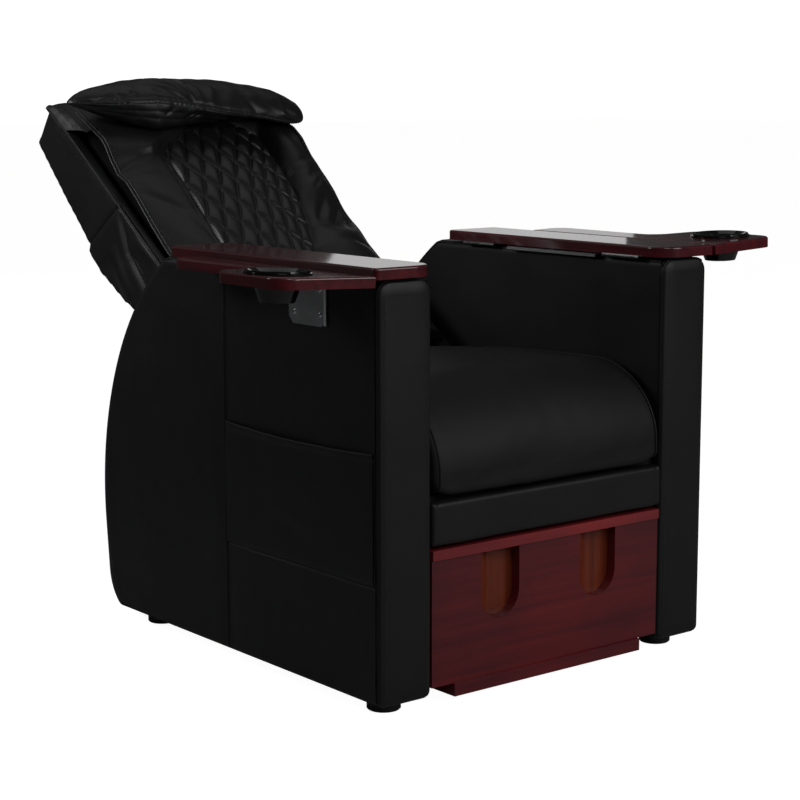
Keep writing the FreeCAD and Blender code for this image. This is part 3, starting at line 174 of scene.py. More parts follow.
class Shell:
    """Gathers grids, tubes and stitches, in millimetres, and makes one piece of them."""

    def __init__(self):
        self.points = []
        self.faces = []
        self.count = 0

    def add(self, points, faces):
        self.points.append(np.asarray(points, float).reshape(-1, 3))
        self.faces += [tuple(int(i) + self.count for i in face) for face in faces]
        self.count += len(self.points[-1])

    def grid(self, points, closed=False, flip=False, caps=False):
        """A sheet of quads over rows and columns; closed joins the last column to the first."""
        rows, columns = points.shape[:2]
        across = columns if closed else columns - 1
        row = np.arange(rows - 1)[:, None]
        column = np.arange(across)[None, :]
        first = row * columns + column
        second = row * columns + (column + 1) % columns
        quads = np.stack([first, second, second + columns, first + columns], -1).reshape(-1, 4)
        if flip:
            quads = quads[:, ::-1]
        faces = quads.tolist()
        flat = points.reshape(-1, 3)
        if caps:
            for start, order in ((0, -1), ((rows - 1) * columns, 1)):
                middle = points[0 if start == 0 else -1].mean(0)
                flat = np.vstack([flat, middle])
                centre = len(flat) - 1
                turn = order * (-1 if flip else 1)
                for c in range(columns):
                    pair = (start + c, start + (c + 1) % columns)
                    faces.append((pair + (centre,)) if turn == 1 else (pair[::-1] + (centre,)))
        self.add(flat, faces)

    def tube(self, path, radius, sides=8, closed=False):
        """A round welt or wire along a path."""
        path = np.asarray(path, float)
        ahead = np.roll(path, -1, 0) - np.roll(path, 1, 0) if closed else np.gradient(path, axis=0)
        ahead = unit(ahead)
        side = np.cross(ahead[0], (0.31, 0.22, 0.93))
        rings = []
        for point, way in zip(path, ahead):
            side = side - way * (side @ way)
            side /= np.linalg.norm(side)
            other = np.cross(way, side)
            angles = np.arange(sides) * 2 * math.pi / sides
            rings.append(point + radius * (np.outer(np.cos(angles), side) + np.outer(np.sin(angles), other)))
        rings = np.array(rings)
        if closed:
            rings = np.concatenate([rings, rings[:1]])
        self.grid(rings, closed=True, flip=True, caps=not closed)

    def stitches(self, path, normal, pitch=6.5, long=4.4, radius=0.55, lift=0.25):
        """Thread stitches sunk a little into the surface along a path."""
        spots = resample(path, pitch)
        middle = (spots[1:] + spots[:-1]) / 2
        ahead = unit(spots[1:] - spots[:-1])
        normal = np.asarray(normal, float)
        if normal.ndim == 1:
            normal = np.repeat(normal[None], len(middle), 0)
        else:
            nearest = np.linspace(0, len(normal) - 1, len(middle)).round().astype(int)
            normal = normal[nearest]
        side = unit(np.cross(ahead, normal))
        rise = np.cross(side, ahead)
        for point, way, out, up in zip(middle, ahead, side, rise):
            rings = []
            for along, share, drop in STITCH_RINGS:
                centre = point + way * along * long + up * (lift + drop * radius)
                ring = []
                for number in range(STITCH_SIDES):
                    angle = number * math.pi / (STITCH_SIDES / 2)
                    sideways = out * math.cos(angle) * radius * share * STITCH_WIDE
                    ring.append(centre + sideways + up * math.sin(angle) * radius * share)
                rings.append(ring)
            self.grid(np.array(rings), closed=True, caps=True)

    def piece(self, name, material, body, weld=False):
        """One smooth object of all that was gathered, which rides on a body; weld joins close points."""
        mesh = bpy.data.meshes.new(name)
        points = np.vstack(self.points) / MM
        mesh.from_pydata(points.tolist(), [], self.faces)
        if weld:
            welded = bmesh.new()
            welded.from_mesh(mesh)
            bmesh.ops.remove_doubles(welded, verts=welded.verts, dist=WELD_GAP / MM)
            welded.to_mesh(mesh)
            welded.free()
        mesh.validate()
        mesh.update()
        mesh.polygons.foreach_set("use_smooth", [True] * len(mesh.polygons))
        item = new_object(name, mesh)
        mesh.materials.append(material)
        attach(item, body)
        return item


def softened(node, name, material, voxel, rounds, swell, turn=Matrix.Identity(4)):
    """A copy of a construction node with its edges worn round, as leather over a board has them."""
    source = nodes[node]
    mesh = source.data.copy()
    mesh.materials.clear()
    mesh.transform(turn.inverted())
    item = new_object(name, mesh)
    remesh = item.modifiers.new("skin", "REMESH")
    remesh.mode = "VOXEL"
    remesh.voxel_size = voxel / MM
    smooth = item.modifiers.new("worn", "SMOOTH")
    smooth.factor = 0.5
    smooth.iterations = rounds
    graph = bpy.context.evaluated_depsgraph_get()
    made = bpy.data.meshes.new_from_object(item.evaluated_get(graph))
    item.modifiers.clear()
    item.data = made
    points = np.zeros(len(made.vertices) * 3)
    normals = np.zeros(len(made.vertices) * 3)
    made.vertices.foreach_get("co", points)
    made.vertices.foreach_get("normal", normals)
    points = points.reshape(-1, 3) * MM
    points = (points + normals.reshape(-1, 3) * swell(points)[:, None]) / MM
    made.vertices.foreach_set("co", points.ravel())
    made.transform(turn)
    made.update()
    made.polygons.foreach_set("use_smooth", [True] * len(made.polygons))
    made.materials.clear()
    made.materials.append(material)
    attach(item, source["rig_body"])
    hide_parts(node)
    return item


# Materials

# How much lighter worn leather is
WORN_TONE = 1.35
WOOD_ROUGH = (0.34, 0.46)
WOOD_SPECULAR = 0.28
WOOD_SHADE = (0.74, 0.8, 0.9)
WOOD_GLOW = (1.16, 1.1, 1.0)
COAT_ROUGH = 0.07
METAL_GRAIN = 60.0
METAL_BUMP = 0.0006
WEAVE_SCALE = 420.0


def set_inputs(item, settings):
    for name, setting in settings.items():
        item.inputs[name].default_value = setting


def new_material(name, slot, base, roughness, metallic=0.0, specular=0.5):
    """A plain material with its slot, and the shader that its textures feed."""
    material = bpy.data.materials.new(name)
    material.use_nodes = True
    material["slot"] = slot
    shader = material.node_tree.nodes["Principled BSDF"]
    set_inputs(shader, {"Base Color": (*base, 1), "Roughness": roughness})
    set_inputs(shader, {"Metallic": metallic, "Specular IOR Level": specular})
    return material, shader


def add_node(material, kind, **sockets):
    item = material.node_tree.nodes.new(kind)
    set_inputs(item, sockets)
    return item


def link(material, source, output, target, socket):
    material.node_tree.links.new(source.outputs[output], target.inputs[socket])


def object_points(material, stretch=(1, 1, 1)):
    """Where a point lies on the object, stretched for grain that runs one way."""
    place = add_node(material, "ShaderNodeTexCoord")
    mapping = add_node(material, "ShaderNodeMapping", Scale=stretch)
    link(material, place, "Object", mapping, "Vector")
    return mapping


def noise_of(material, points, scale, detail):
    item = add_node(material, "ShaderNodeTexNoise", Scale=scale, Detail=detail)
    link(material, points, "Vector", item, "Vector")
    return item


def vary_roughness(material, shader, source, low, high):
    """Let a 0 to 1 texture move the roughness between two values."""
    item = add_node(material, "ShaderNodeMapRange", **{"To Min": low, "To Max": high})
    link(material, source, "Fac", item, "Value")
    link(material, item, "Result", shader, "Roughness")


def ramp(material, source, stops):
    """Colours for a 0 to 1 texture, given as places and colours in order."""
    item = add_node(material, "ShaderNodeValToRGB")
    for element, (place, colour) in zip(item.color_ramp.elements, (stops[0], stops[-1])):
        element.position = place
        element.color = (*colour, 1)
    for place, colour in stops[1:-1]:
        item.color_ramp.elements.new(place).color = (*colour, 1)
    link(material, source, "Fac", item, "Fac")
    return item


def bump(material, shader, layers):
    """Stack bumps: each layer is a texture, its output, its strength and its depth in metres."""
    before = None
    for source, output, strength, deep in layers:
        item = add_node(material, "ShaderNodeBump", Strength=strength, Distance=deep)
        link(material, source, output, item, "Height")
        if before:
            link(material, before, "Normal", item, "Normal")
        before = item
    link(material, before, "Normal", shader, "Normal")


def leather(name, base, rough_low, rough_high, specular, wrinkle):
    """Black upholstery leather: fine pebble grain, broad wear and faint pull marks."""
    material, shader = new_material(name, "black_leather", base, rough_low, specular=specular)
    points = object_points(material)
    pebble = add_node(material, "ShaderNodeTexVoronoi", Scale=780.0)
    pebble.feature = "DISTANCE_TO_EDGE"
    link(material, points, "Vector", pebble, "Vector")
    grain = noise_of(material, points, 520.0, 4.0)
    wear = noise_of(material, points, 7.0, 5.0)
    pull = noise_of(material, points, 26.0, 4.0)
    vary_roughness(material, shader, wear, rough_low, rough_high)
    worn = tuple(WORN_TONE * part for part in base)
    colour = ramp(material, wear, [(0.3, base), (0.7, worn)])
    link(material, colour, "Color", shader, "Base Color")
    fine = [(pebble, "Distance", 0.35, 0.00022), (grain, "Fac", 0.25, 0.00012)]
    bump(material, shader, [*fine, (pull, "Fac", wrinkle, 0.0016)])
    return material


def grain_points(material, across, along, grain_way):
    """Texture places that are stretched along the grain of wood."""
    stretch = [across] * 3
    stretch[grain_way] = along
    return object_points(material, tuple(stretch))


def timber(name, slot, dark, mid, light, grain_way, gloss):
    """Lacquered wood: long pores and cathedral streaks along one axis."""
    material, shader = new_material(name, slot, mid, WOOD_ROUGH[0], specular=WOOD_SPECULAR)
    streak = noise_of(material, grain_points(material, 55.0, 2.2, grain_way), 1.0, 6.0)
    streak.inputs["Distortion"].default_value = 0.6
    pores = noise_of(material, grain_points(material, 900.0, 28.0, grain_way), 1.0, 2.0)
    cloud = noise_of(material, object_points(material), 5.0, 3.0)
    tone = ramp(material, streak, [(0.25, dark), (0.5, mid), (0.78, light)])
    shade = ramp(material, cloud, [(0.3, WOOD_SHADE), (0.7, WOOD_GLOW)])
    mix = add_node(material, "ShaderNodeMix")
    mix.data_type = "RGBA"
    mix.blend_type = "MULTIPLY"
    mix.inputs["Factor"].default_value = 1.0
    material.node_tree.links.new(tone.outputs["Color"], mix.inputs[6])
    material.node_tree.links.new(shade.outputs["Color"], mix.inputs[7])
    material.node_tree.links.new(mix.outputs[2], shader.inputs["Base Color"])
    vary_roughness(material, shader, streak, *WOOD_ROUGH)
    set_inputs(shader, {"Coat Weight": gloss, "Coat Roughness": COAT_ROUGH})
    bump(material, shader, [(pores, "Fac", 0.05, 0.0002), (streak, "Fac", 0.03, 0.0004)])
    return material


def metal(name, slot, base, rough_low, rough_high, dent, grain=METAL_GRAIN):
    """Plated or bare metal with uneven polish."""
    material, shader = new_material(name, slot, base, rough_low, metallic=1.0)
    smear = noise_of(material, object_points(material), grain, 4.0)
    vary_roughness(material, shader, smear, rough_low, rough_high)
    bump(material, shader, [(smear, "Fac", dent, METAL_BUMP * METAL_GRAIN / grain)])
    return material


def plastic(name, slot, base, rough_low, rough_high, texture):
    """Moulded plastic with a fine texture and uneven gloss."""
    material, shader = new_material(name, slot, base, rough_low)
    points = object_points(material)
    fine = noise_of(material, points, 700.0, 3.0)
    smear = noise_of(material, points, 18.0, 3.0)
    vary_roughness(material, shader, smear, rough_low, rough_high)
    bump(material, shader, [(fine, "Fac", texture, 0.0002)])
    return material


def woven(name, slot, base):
    """A plain dark dust-cover weave."""
    material, shader = new_material(name, slot, base, 0.85, specular=0.2)
    points = object_points(material)
    layers = []
    for bands in ("X", "Z"):
        threads = add_node(material, "ShaderNodeTexWave", Scale=WEAVE_SCALE)
        threads.bands_direction = bands
        link(material, points, "Vector", threads, "Vector")
        layers.append((threads, "Fac", 0.5, 0.0003))
    bump(material, shader, layers)
    return material


LEATHER = leather("leather_flat", (0.0064, 0.0064, 0.0068), 0.42, 0.58, 0.36, 0.10)
SOFT_LEATHER = leather("leather_soft", (0.0070, 0.0070, 0.0076), 0.36, 0.50, 0.46, 0.16)
QUILT_LEATHER = leather("leather_quilt", (0.0064, 0.0064, 0.0076), 0.32, 0.44, 0.52, 0.12)
SEAT_LEATHER = leather("leather_seat", (0.0070, 0.0070, 0.0074), 0.54, 0.66, 0.30, 0.14)
THREAD, _ = new_material("thread", "black_leather", (0.030, 0.030, 0.032), 0.6)
WOOD_LONG = timber(
    "mahogany_long", "mahogany", (0.050, 0.0028, 0.006), (0.095, 0.0050, 0.010), (0.14, 0.008, 0.014), 1, 1.0
)
WOOD_WIDE = timber(
    "mahogany_wide", "mahogany", (0.080, 0.0040, 0.009), (0.125, 0.0065, 0.011), (0.17, 0.010, 0.013), 0, 0.5
)
SLOT_WOOD = timber(
    "slot_wood", "slot_brown", (0.10, 0.014, 0.005), (0.17, 0.027, 0.009), (0.24, 0.046, 0.015), 2, 0.2
)
# A lighter copy of mahogany for the drawer's top board: its brightness is a painted highlight of the lit
# front edge.
LIT_EDGE_WOOD = timber(
    "mahogany_painted_lit_edge", "mahogany", (0.20, 0.014, 0.018), (0.27, 0.022, 0.026), (0.34, 0.034, 0.036), 0, 0.4
)
PLYWOOD = timber("plywood", "plywood", (0.30, 0.20, 0.11), (0.46, 0.33, 0.20), (0.58, 0.44, 0.28), 1, 0.0)
CHROME = metal("chrome", "chrome", (0.72, 0.74, 0.75), 0.06, 0.18, 0.25)
HAMMERED = metal("hammered_chrome", "chrome", (0.62, 0.64, 0.66), 0.16, 0.34, 1.0, 24.0)
STEEL = metal("steel", "steel", (0.50, 0.50, 0.51), 0.26, 0.42, 0.1)
GLOSS = plastic("black_gloss", "black_gloss", (0.006, 0.006, 0.007), 0.05, 0.11, 0.02)
# A lighter, rougher copy of chrome for the brackets' turned edges, a painted highlight.
PAINTED_HIGHLIGHT_CHROME = metal("chrome_painted_highlight", "chrome", (0.86, 0.87, 0.88), 0.38, 0.5, 0.1)
MATTE = plastic("black_matte", "black_matte", (0.014, 0.014, 0.014), 0.50, 0.62, 0.2)
LINING = woven("lining", "lining", (0.012, 0.012, 0.013))


# Arms

ARM_ROUND = 12.0
CORNER = ARM_ROUND * (1 - math.cos(math.pi / 4))
SEAM_DEPTH = 446.0
POCKET_LOW = 223.0
POCKET_TOP = 445.0
SEAM_STITCH = 5.0
SEAM_WIDE = 2.2
SEAM_DEEP = 2.6
LOW_SEAM_DEEP = 2.2
PANEL_FULL = 1.6
LONG_WAVE = 240.0
SHORT_WAVE = 60.0
WELT_ROUND = 1.9
STITCH_LOW = 34.0
STITCH_HIGH = 712.0
SEAM_LIFT = 1.1
# The points of the upright seam's stitches that the pouch covers lie between these two
BELOW_POUCH = 17
ABOVE_POUCH = 37
# Everything of the outline behind this depth belongs to its rear
REAR_FROM = 600.0
# How far from a grid's ends and seams it gets more stations
CLOSE_GAPS = (0.0, 1.2, 2.6, 4.5, 7.0)
# The two long pulls in the arm's outer leather
ARM_FOLDS = (((60, 205), (250, 140), 9, 0.9), ((820, 560), (640, 440), 16, 0.8))


def arc_points(start, end, radius, count):
    """Points of the arc that bulges to the right of the way from start to end."""
    start, end = np.array(start, float), np.array(end, float)
    chord = end - start
    long = np.linalg.norm(chord)
    left = np.array([-chord[1], chord[0]]) / long
    centre = (start + end) / 2 + left * math.sqrt(radius ** 2 - long ** 2 / 4)
    first = math.atan2(*(start - centre)[::-1])
    last = math.atan2(*(end - centre)[::-1])
    if last < first:
        last += 2 * math.pi
    angles = np.linspace(first, last, count)
    return centre + radius * np.stack([np.cos(angles), np.sin(angles)], 1)


def arm_rear():
    """The arm's rear edge from its toe to the end of its top, as depth and height."""
    toe, heel, waist, knee, top_end = (838, 23), (877, 90), (886, 187), (827, 512), (642, 723)
    toe_round, rear_round, top_round = 92.0557, 614.52, 529.57
    low = arc_points(toe, heel, toe_round, 9)
    middle = arc_points(waist, knee, rear_round, 28)
    return np.vstack([low, middle, arc_points(knee, top_end, top_round, 26)[1:]])


def flat_resample(line, step):
    """Points about one step apart along a line in a plane."""
    three = np.column_stack([line, np.zeros(len(line))])
    return resample(three, step)[:, :2]


def arm_outline():
    """Bottom, rear and top of the arm from front to front, with outward normals."""
    rear = arm_rear()
    bottom = np.array([[FACING_DEEP, ARM_LOW], rear[0]])
    top = np.array([rear[-1], [FACING_DEEP, ARM_TOP]])
    line = np.vstack([bottom, rear[1:], top[1:]])
    line = flat_resample(line, 9.0)
    ahead = unit(np.gradient(line, axis=0))
    outward = np.stack([ahead[:, 1], -ahead[:, 0]], 1)
    return line, outward


def distance_to(line, a, b):
    """Least distance from points to a line in a plane."""
    points = np.stack([a.ravel(), b.ravel()], 1)
    best = np.full(len(points), 1e9)
    for start, end in zip(line[:-1], line[1:]):
        way = end - start
        share = np.clip(((points - start) @ way) / (way @ way), 0, 1)
        gap = np.linalg.norm(points - start - share[:, None] * way, axis=1)
        best = np.minimum(best, gap)
    return best.reshape(a.shape)


def crowded(low, high, step, tight=()):
    """Grid stations from low to high, closer together near the ends and near the given places."""
    stations = list(np.linspace(low, high, int((high - low) / step) + 2))
    for place in (low, high, *tight):
        for gap in CLOSE_GAPS:
            stations += [place - gap, place + gap]
    stations = sorted({round(s, 2) for s in stations if low <= s <= high})
    return np.array(stations)


def arm_face(side, outer):
    """One large face of the arm: rounded to its edge welt and, outside, sunk along its seams."""
    line, outward = arm_outline()
    inset = line - outward * CORNER
    heights = crowded(ARM_LOW + CORNER, ARM_TOP - CORNER, 12.0, (POCKET_LOW,) if outer else ())
    rear_part = inset[inset[:, 0] > REAR_FROM]
    order = np.argsort(rear_part[:, 1])
    ends = np.interp(heights, rear_part[order, 1], rear_part[order, 0])
    front_part = crowded(FACING_DEEP - 3, SEAM_DEPTH, 12.0)
    shares = np.array([0.0025, 0.006, 0.011, 0.018, 0.03, *np.linspace(0.05, 1.0, 34)])
    front_depth = np.repeat(front_part[None], len(heights), 0)
    rear_depth = SEAM_DEPTH + shares[None] * (ends[:, None] - SEAM_DEPTH)
    depth = np.concatenate([front_depth, rear_depth], 1)
    height = np.repeat(heights[:, None], depth.shape[1], 1)
    gap = distance_to(line, depth, height)
    near = np.clip(ARM_ROUND - gap, 0, ARM_ROUND)
    drop = ARM_ROUND - np.sqrt(ARM_ROUND ** 2 - near ** 2)
    swell = waves(depth, height, LONG_WAVE, 11 + side) * ease(gap / 60)
    swell += 0.35 * waves(depth, height, SHORT_WAVE, 21 + side) * ease(gap / 40)
    if outer:
        seam = np.exp(-(((depth - SEAM_DEPTH) / SEAM_WIDE) ** 2)) * SEAM_DEEP
        low_seam = np.exp(-(((height - POCKET_LOW) / SEAM_WIDE) ** 2)) * LOW_SEAM_DEEP * (depth < SEAM_DEPTH)
        swell += PANEL_FULL * ease(np.abs(depth - SEAM_DEPTH) / 40) - seam - low_seam
        swell = add_creases(swell, depth, height, ARM_FOLDS)
        across = ARM_OUT - drop + swell
    else:
        across = SEAT_HALF + drop - 0.8 * ease(gap / 60) - 0.4 * swell
    return np.stack([side * across, FRONT + depth, height], -1)


def arm_boxing(side):
    """The strip over the arm's bottom, rear and top, with its rounded edges."""
    line, outward = arm_outline()
    turns = np.linspace(math.pi / 4, math.pi / 2, 6)
    falls = [(ARM_ROUND * (1 - math.sin(turn)), ARM_ROUND * (1 - math.cos(turn))) for turn in turns]
    profile = [(gap, ARM_OUT - inwards) for gap, inwards in falls]
    for share in np.linspace(0.08, 0.92, 8):
        across = ARM_OUT - ARM_ROUND - share * (ARM_OUT - SEAT_HALF - 2 * ARM_ROUND)
        profile.append((-0.8 * math.sin(share * math.pi), across))
    profile += [(gap, SEAT_HALF + inwards) for gap, inwards in falls[::-1]]
    grid = []
    for point, out in zip(line, outward):
        places = [(*(point - out * gap), x) for gap, x in profile]
        grid.append([(side * x, FRONT + depth, height) for depth, height, x in places])
    return np.array(grid)


def edge_path(side, across, gap):
    """A line all along the arm's bottom, rear and top, a gap inside its outline."""
    line, outward = arm_outline()
    path = line - outward * gap
    return np.column_stack([np.full(len(path), side * across), FRONT + path[:, 0], path[:, 1]])


def outer_point(side, depth, height, lift):
    """A point a little off the arm's outer face."""
    return (side * (ARM_OUT + lift), FRONT + depth, height)


def upright_path(side, depth, lift):
    """A line of points up the arm's outer face."""
    return [outer_point(side, depth, z, lift) for z in np.linspace(STITCH_LOW, STITCH_HIGH, 60)]


def make_arm(word, side):
    """The arm's leather with its two edge welts, and the stitches of its outer face."""
    shell = Shell()
    shell.grid(arm_face(side, True), flip=side == -1)
    shell.grid(arm_face(side, False), flip=side == 1)
    shell.grid(arm_boxing(side), flip=side == -1)
    for across in (ARM_OUT - CORNER, SEAT_HALF + CORNER):
        shell.tube(resample(edge_path(side, across, CORNER), 6.0), WELT_ROUND)
    item = shell.piece("arm_leather_" + word, LEATHER, "base")
    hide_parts("arm_cover_" + word)

    thread = Shell()
    out = (side, 0, 0)
    before_seam = upright_path(side, SEAM_DEPTH - SEAM_STITCH, SEAM_LIFT)
    thread.stitches(before_seam[:BELOW_POUCH], out)
    thread.stitches(before_seam[ABOVE_POUCH:], out)
    thread.stitches(upright_path(side, SEAM_DEPTH + SEAM_STITCH, SEAM_LIFT), out)
    for gap in (SEAM_STITCH, -SEAM_STITCH):
        path = [outer_point(side, d, POCKET_LOW + gap, 1.2) for d in np.linspace(24, SEAM_DEPTH - 8, 40)]
        thread.stitches(path, out)
    thread.stitches(upright_path(side, FACING_DEEP + 7, 0.6), out)
    thread.piece("arm_thread_" + word, THREAD, "base")


# Points in a ring's corner, between two corners up its sides, and between two across
RING_CORNER = 9
RING_TALL = 60
RING_WIDE = 7


def rounded_ring(side, low, high, round_low, round_top, depth):
    """A rounded rectangle in a plane of one depth, from its lower outer corner up and round."""
    (low_x, low_z), (high_x, high_z) = low, high
    corners = [
        (high_x - round_low, low_z + round_low, round_low, -90),
        (high_x - round_top, high_z - round_top, round_top, 0),
        (low_x + round_top, high_z - round_top, round_top, 90),
        (low_x + round_low, low_z + round_low, round_low, 180),
    ]
    points = []
    for number, (x, z, radius, first) in enumerate(corners):
        for turn in np.linspace(first, first + 90, RING_CORNER):
            angle = math.radians(turn)
            points.append((x + radius * math.cos(angle), z + radius * math.sin(angle)))
        following = corners[(number + 1) % 4]
        start = points[-1]
        angle = math.radians(following[3])
        end = (following[0] + following[2] * math.cos(angle), following[1] + following[2] * math.sin(angle))
        count = RING_TALL if number % 2 == 0 else RING_WIDE
        for share in np.linspace(0, 1, count + 2)[1:-1]:
            points.append(tuple(a + share * (b - a) for a, b in zip(start, end)))
    return np.array([(side * x, FRONT + depth, z) for x, z in points])


FACING_WAVE = 0.35
FACING_LOW_ROUND = 12.0
FACING_TOP_ROUND = 24.0
SHARPEST = 0.6
# How far in each ring of the facing lies, and its depth
FACING_STEPS = (
    (0, 15.5), (0, 8.0), (0.4, 6.0), (1.4, 4.2), (2.8, 2.9), (4.4, 2.3), (6.0, 1.9), (8.5, 1.0), (12, 0.3),
    (17, -0.4), (24, -0.8),
)


def facing_ring(side, gap, depth):
    """The facing's outline, a gap inside the arm's, in a plane of one depth."""
    low = (SEAT_HALF + gap, ARM_LOW + gap)
    high = (ARM_OUT - gap, ARM_TOP - gap)
    round_low = max(FACING_LOW_ROUND - gap, SHARPEST)
    round_top = max(FACING_TOP_ROUND - gap, SHARPEST)
    return rounded_ring(side, low, high, round_low, round_top, depth)


def make_facing(word, side):
    """The padded strip on the arm's front: a piped edge and a slightly full face."""

    def uneven(points, share=1.0):
        """How far the padding waves in and out under the leather."""
        return share * FACING_WAVE * waves(points[..., 0], points[..., 2], 90.0, 5 + side)

    shell = Shell()
    rings = np.array([facing_ring(side, gap, depth) for gap, depth in FACING_STEPS])
    inside = ease((np.arange(len(rings)) - 6)[:, None] / 4)
    rings[..., 1] += uneven(rings) * inside
    shell.grid(rings, closed=True, flip=side == -1)
    last = rings[-1]
    right_rail = last[RING_CORNER - 1 : RING_CORNER + RING_TALL + 1]
    first_left = 2 * RING_CORNER + RING_TALL + RING_WIDE
    left_rail = last[first_left + RING_CORNER - 1 : first_left + RING_CORNER + RING_TALL + 1][::-1]
    shares = np.linspace(0, 1, 9)[None, :, None]
    field = right_rail[:, None] * (1 - shares) + left_rail[:, None] * shares
    crown = 0.5 * np.sin(shares[..., 0] * math.pi) + uneven(field)
    crown -= uneven(right_rail[:, None], 1 - shares[..., 0])
    crown -= uneven(left_rail[:, None], shares[..., 0])
    field[..., 1] -= crown
    shell.grid(field, flip=side == 1)
    shell.add(last, [])
    total = len(last)
    start = shell.count - total
    low_end = [start + i % total for i in range(first_left + RING_CORNER + RING_TALL, total + RING_CORNER)]
    high_end = [start + i for i in range(RING_CORNER + RING_TALL, first_left + RING_CORNER)]
    ends = [low_end, high_end] if side == 1 else [low_end[::-1], high_end[::-1]]
    shell.faces += [tuple(end) for end in ends]
    for depth, gap, radius in ((8.2, -0.1, 1.1), (14.5, -0.2, 1.0)):
        shell.tube(resample(facing_ring(side, gap, depth), 5.0, closed=True), radius, closed=True)
    item = shell.piece("arm_front_" + word, LEATHER, "base", weld=True)
    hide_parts("arm_facing_" + word)
    thread = Shell()
    for across in (SEAT_HALF + 10.5, ARM_OUT - 10.5):
        path = [(side * across, FRONT + 0.5, z) for z in np.linspace(ARM_LOW + 16, ARM_TOP - 28, 70)]
        thread.stitches(path, (0, -1, 0))
    thread.piece("arm_front_thread_" + word, THREAD, "base")


POCKET_OPEN = 7.6
POCKET_SAG = 5.0
# The turned hem at the pouch's mouth: how far each row lies below the top, and how thick it stands out
HEM_ROWS = (
    (13.5, 1.7), (12, 1.5), (10.5, 1.9), (8, 3.0), (4, 3.3), (1.5, 3.0), (0, 2.0), (0.5, 0.6), (4, 0.0),
    (30, 0.0),
)
# The pouch's row that the stitches of its hem follow
HEM_ROW = 22


def make_pocket(word, side):
    """A sewn pouch that hangs a little open, with a turned hem along its mouth."""
    shell = Shell()
    depth = crowded(FACING_DEEP + 1, SEAM_DEPTH - 2, 10.0)
    share = (depth - depth[0]) / (depth[-1] - depth[0])
    middle = np.sin(share * math.pi)
    open_gap = POCKET_OPEN * middle ** 0.55
    sag = POCKET_SAG * middle
    rows = [(POCKET_LOW + 1.5, 0.0), (POCKET_LOW + 3, 1.2), (POCKET_LOW + 6, 2.1)]
    rows += [(z, 2.5) for z in np.linspace(POCKET_LOW + 12, POCKET_TOP - 16, 18)]
    rows += [(POCKET_TOP - fall, thick) for fall, thick in HEM_ROWS]
    grid = []
    for height, thick in rows:
        rise = ease((height - POCKET_LOW) / (POCKET_TOP - POCKET_LOW))
        level = np.full_like(depth, height)
        slack = 1.2 * waves(depth, level, 120.0, 31 + side) * rise
        slack += crease(depth, level, (150, 260), (330, 300), 10, 1.4)
        across = ARM_OUT + 0.6 + thick + open_gap * rise + slack * middle
        across = np.maximum(across, ARM_OUT + 0.4)
        grid.append(np.stack([side * across, FRONT + depth, height - sag * rise], -1))
    shell.grid(np.array(grid), flip=side == -1)
    item = shell.piece("pocket_pouch_" + word, LEATHER, "base")
    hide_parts("side_pocket_" + word)
    thread = Shell()
    thread.stitches(grid[HEM_ROW] + np.array([side * 0.2, 0, 0]), (side, 0, 0))
    thread.piece("pocket_thread_" + word, THREAD, "base")


# The seat cushion

CUSHION_HALF = 262.0
CUSHION_WELT = 253.0
CUSHION_LOW = 359.0
CUSHION_END_RISE = 13.0
RISE_FROM = 212.0
CUSHION_END = 498.0
CUSHION_NOSE = -1.0
CUSHION_CROWN = 549.0
NOSE_STRAIGHT = 399.0
NOSE_DEEP = 150.0
NOSE_POWER = 1.9
SMALL_CORNER = 12.0
REAR_CORNER = 36.0
REAR_FALL = 12.0
CUSHION_DOME = 15.0
NOSE_DOME = 3.0
END_ROUND = 8.0


def cushion_section(crown, nose, inset, rise):
    """The cushion's outline in one plane across, from its lower front corner up, back and round."""
    path = []
    low, end = CUSHION_LOW + inset + rise, CUSHION_END - inset
    nose, crown = nose + inset, crown - inset
    rear_top = crown - REAR_FALL - REAR_CORNER
    flat_from, flat_to = nose + NOSE_DEEP, end - REAR_CORNER
    for turn in np.linspace(-math.pi / 2, 0, 7):
        depth = nose + SMALL_CORNER * (1 - math.cos(turn))
        path.append((depth, low + SMALL_CORNER * (1 + math.sin(turn))))
    for share in np.linspace(0.1, 0.95, 8):
        path.append((nose, low + SMALL_CORNER + share * (NOSE_STRAIGHT - low - SMALL_CORNER)))
    for turn in np.linspace(0, math.pi / 2, 26):
        depth = nose + NOSE_DEEP * (1 - math.cos(turn) ** (2 / NOSE_POWER))
        path.append((depth, NOSE_STRAIGHT + (crown - NOSE_STRAIGHT) * math.sin(turn) ** (2 / NOSE_POWER)))
    for share in np.linspace(0.05, 1, 20):
        path.append((flat_from + share * (flat_to - flat_from), crown - REAR_FALL * share ** 2))
    for turn in np.linspace(math.pi / 2, 0, 9)[1:]:
        height = crown - REAR_FALL - REAR_CORNER * (1 - math.sin(turn))
        path.append((flat_to + REAR_CORNER * math.cos(turn), height))
    for share in np.linspace(0.1, 1, 8):
        path.append((end, rear_top + share * (low + SMALL_CORNER - rear_top)))
    for turn in np.linspace(0, math.pi / 2, 6)[1:]:
        depth = end - SMALL_CORNER * math.sin(turn) ** 2
        path.append((depth, low + SMALL_CORNER * math.cos(turn) ** 2))
    for share in np.linspace(0.05, 0.95, 20):
        path.append((end - SMALL_CORNER + share * (nose + 2 * SMALL_CORNER - end), low))
    return np.array(path)


